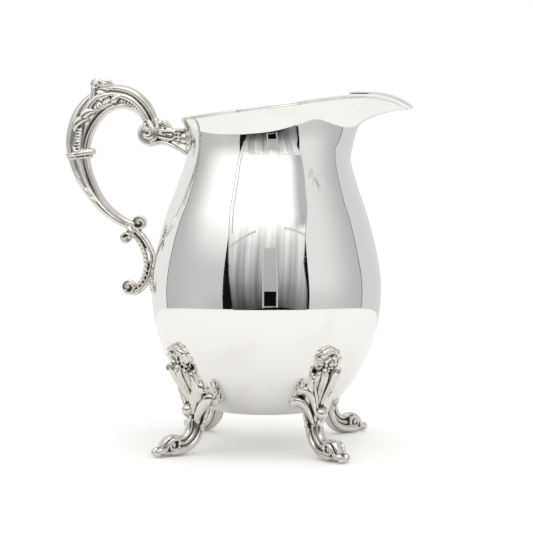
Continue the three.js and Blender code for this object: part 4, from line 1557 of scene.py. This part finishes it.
def screen(name, start, end, low, high, distance, tone, columns=60, rows=80):
    """A curved screen. start and end are degrees to the right of the camera, and may change with height."""
    height = np.linspace(low, high, rows)
    first, last = (edge(height) if callable(edge) else np.full(rows, float(edge)) for edge in (start, end))
    share = np.linspace(0, 1, columns)
    turn = first[:, None] * (1 - share) + last[:, None] * share
    tall = np.repeat(height[:, None], columns, 1)
    way = np.radians(turn) + CAMERA_AZIMUTH
    corners = np.stack([axis_x + np.sin(way) * distance, -np.cos(way) * distance, tall], -1).reshape(-1, 3)
    faces = []
    for r in range(rows - 1):
        for c in range(columns - 1):
            i = r * columns + c
            faces.append((i, i + 1, i + columns + 1, i + columns))
    made = new_object(name, corners, faces)
    glow = tone(turn, tall) if callable(tone) else np.full(turn.shape, float(tone))
    made.data.attributes.new("tone", "FLOAT", "POINT").data.foreach_set(
        "value", glow.astype(np.float32).ravel()
    )
    made.data.materials.append(TENT_CLOTH)
    made.visible_camera = False
    made.visible_diffuse = False
    made.visible_shadow = False
    return made


# %% The walls of the tent
# In degrees to the right of the camera. A dark seam shows between the walls where they don't quite meet.
WALL_LEFT = (-111, -41)
WALL_RIGHT = (40, 103)
SEAM = 1.2


def left_tone(turn, z):
    """Plain grey, with the glow of a lamp on the half next to the camera."""
    glow = smooth_step(turn, -112, -60) * smooth_step(z, 0.2, 0.46)
    plain = 0.5 + 0.08 * smooth_step(turn, -110, -60)
    plain = plain - 0.08 * smooth_step(z, 0.14, 0.02) * smooth_step(turn, -70, -45)
    return plain * (1 - glow) + 1.2 * glow


def right_tone(turn, z):
    """Grey, brighter next to the camera and a little darker at the floor."""
    near_camera = smooth_step(turn, 102, 52)
    return 0.5 + 0.28 * near_camera - 0.16 * smooth_step(z, 0.2, 0.02) * near_camera


def behind_tone(turn, z):
    """Paler than the walls at the sides, and as bright at every height z."""
    return 0.66 + 0.16 * smooth_step(turn, 110, 220)


back_start, back_end = WALL_RIGHT[1], 360 + WALL_LEFT[0]
screen("tent_left", *WALL_LEFT, 0.0, TENT_HEIGHT, TENT_RADIUS, left_tone)
screen("tent_right", *WALL_RIGHT, 0.0, TENT_HEIGHT, TENT_RADIUS, right_tone)
screen("tent_behind", back_start + SEAM, back_end - SEAM, 0.0, TENT_HEIGHT, TENT_RADIUS, behind_tone)
screen("seams_of_tent", back_start - 1, back_end + 1, 0.0, TENT_HEIGHT, TENT_RADIUS + 0.01, 0.16)
print("the tent's walls stand", TENT_RADIUS, "m away, and are", TENT_HEIGHT, "m high")

# %% The gathered cloth round the lens
CLOTH_HEIGHTS = (0.0, 0.12, 0.25, 0.36, 0.5)


def cloth_left(z):
    return np.interp(z, CLOTH_HEIGHTS, (-31, -33, -37, -42, -47))


def cloth_right(z):
    return np.interp(z, CLOTH_HEIGHTS, (37.5, 38, 36.5, 43, 50))


def folds(turn, z):
    """Between -1 and 1: soft folds that hang down from the slit and fan out."""
    spread = turn * (1.0 - 0.5 * z)
    wide = np.sin(spread * 0.42 + 1.3 * np.sin(z * 9.0) + 0.6)
    narrow = np.sin(spread * 1.15 + 2.2 * np.sin(z * 6.0 + 1.0))
    crease = np.sin(spread * 2.3 + z * 26.0) * np.sin(z * 31.0 + turn * 0.2)
    return 0.5 * wide + 0.3 * narrow + 0.2 * crease


def cloth_tone(turn, z):
    """Dark at the foot, lit from above, with folds, a pressed placket in the middle and a hem at each
    edge."""
    light = np.interp(z, (0.0, 0.06, 0.14, 0.24, 0.31, 0.37, 0.44), (0.05, 0.1, 0.2, 0.42, 0.62, 1.0, 1.3))
    side = smooth_step(turn, 12, 34) * smooth_step(z, 0.46, 0.3)
    tone = light * (1 + 0.42 * folds(turn, z) * smooth_step(z, 0.45, 0.25)) + side * 0.14
    placket = np.abs(turn - 3.2)
    tone = np.where((placket < 6.3) & (z < 0.31), 0.34 + 0.5 * z, tone)
    tone = np.where((np.abs(placket - 6.6) < 0.45) & (z < 0.34), 0.62, tone)
    high = smooth_step(z, 0.33, 0.37)
    tone = tone * (1 - smooth_step(turn, 22, 40) * high * 0.62)
    # The seam of the opening: a thin line down the left, and an arch over the folds on each side.
    seam = np.abs(turn - cloth_left(z) - 4.5) < 0.8
    arch = np.abs(z - 0.372 + 0.045 * ((turn - 3) / 34) ** 2) < 0.004
    tone = np.where((seam & (z > 0.35)) | (arch & (np.abs(turn - 3) > 15)), 0.55, tone)
    hem = np.minimum(turn - cloth_left(z), cloth_right(z) - turn)
    tone = np.where(hem < 0.9, 0.42 * np.minimum(1, light) + 0.06, tone)
    # Under the cloth, in the middle, it is dark.
    return np.where(z < 0.022 * (1 - ((turn - 7) / 21) ** 2), 0.005, tone)


screen("tent_cloth", cloth_left, cloth_right, 0.0, TENT_HEIGHT, TENT_RADIUS - 0.01, cloth_tone, 240, 320)
screen("tent_slits", WALL_LEFT[1] - 2, WALL_RIGHT[0] + 2, 0.0, 0.6, TENT_RADIUS + 0.006, 0.006)
screen("lens_slot", -2.4, 8.8, 0.03, 0.13, TENT_RADIUS - 0.015, 0.004)

# %% Soft light from above
def soft_light(name, place, size, power, aim=(0, 0, 0.12)):
    """A round lamp, turned towards a point inside the pitcher."""
    lamp = bpy.data.lights.new(name, "AREA")
    lamp.shape = "DISK"
    lamp.size = size
    lamp.energy = power
    light = bpy.data.objects.new(name, lamp)
    bpy.context.scene.collection.objects.link(light)
    light.location = place
    way = np.array(aim) - np.array(place)
    pitch = math.atan2(np.hypot(way[0], way[1]), -way[2])
    light.rotation_euler = (pitch, 0, math.atan2(way[1], way[0]) - math.pi / 2)
    light.visible_camera = False
    return light


softbox = soft_light("softbox_above", (0.25, -0.35, 1.3), size=0.6, power=1.6)
print(softbox.name, "is", round(softbox.location.z, 2), "m above the floor")

# %% [markdown]
# ## The camera
# The pitcher is seen from a little above, far enough off that its sides stay straight, with the spout
# turned slightly towards the camera. A long lens keeps it large in the picture.

# %% Place the camera
LENS = 131.7
CAMERA_DISTANCE = 1.277
CAMERA_HEIGHT = 0.2271
CAMERA_PITCH = math.radians(4.88)
camera_data = bpy.data.cameras.new("camera")
camera_data.sensor_width = 36
camera_data.lens = LENS
camera = bpy.data.objects.new("camera", camera_data)
bpy.context.scene.collection.objects.link(camera)
camera.location = (
    axis_x + CAMERA_DISTANCE * math.sin(CAMERA_AZIMUTH),
    -CAMERA_DISTANCE * math.cos(CAMERA_AZIMUTH),
    CAMERA_HEIGHT,
)
camera.rotation_euler = (math.pi / 2 - CAMERA_PITCH, 0, CAMERA_AZIMUTH)
bpy.context.scene.camera = camera
print("the camera is", CAMERA_DISTANCE, "m away, with a lens of", LENS, "mm")
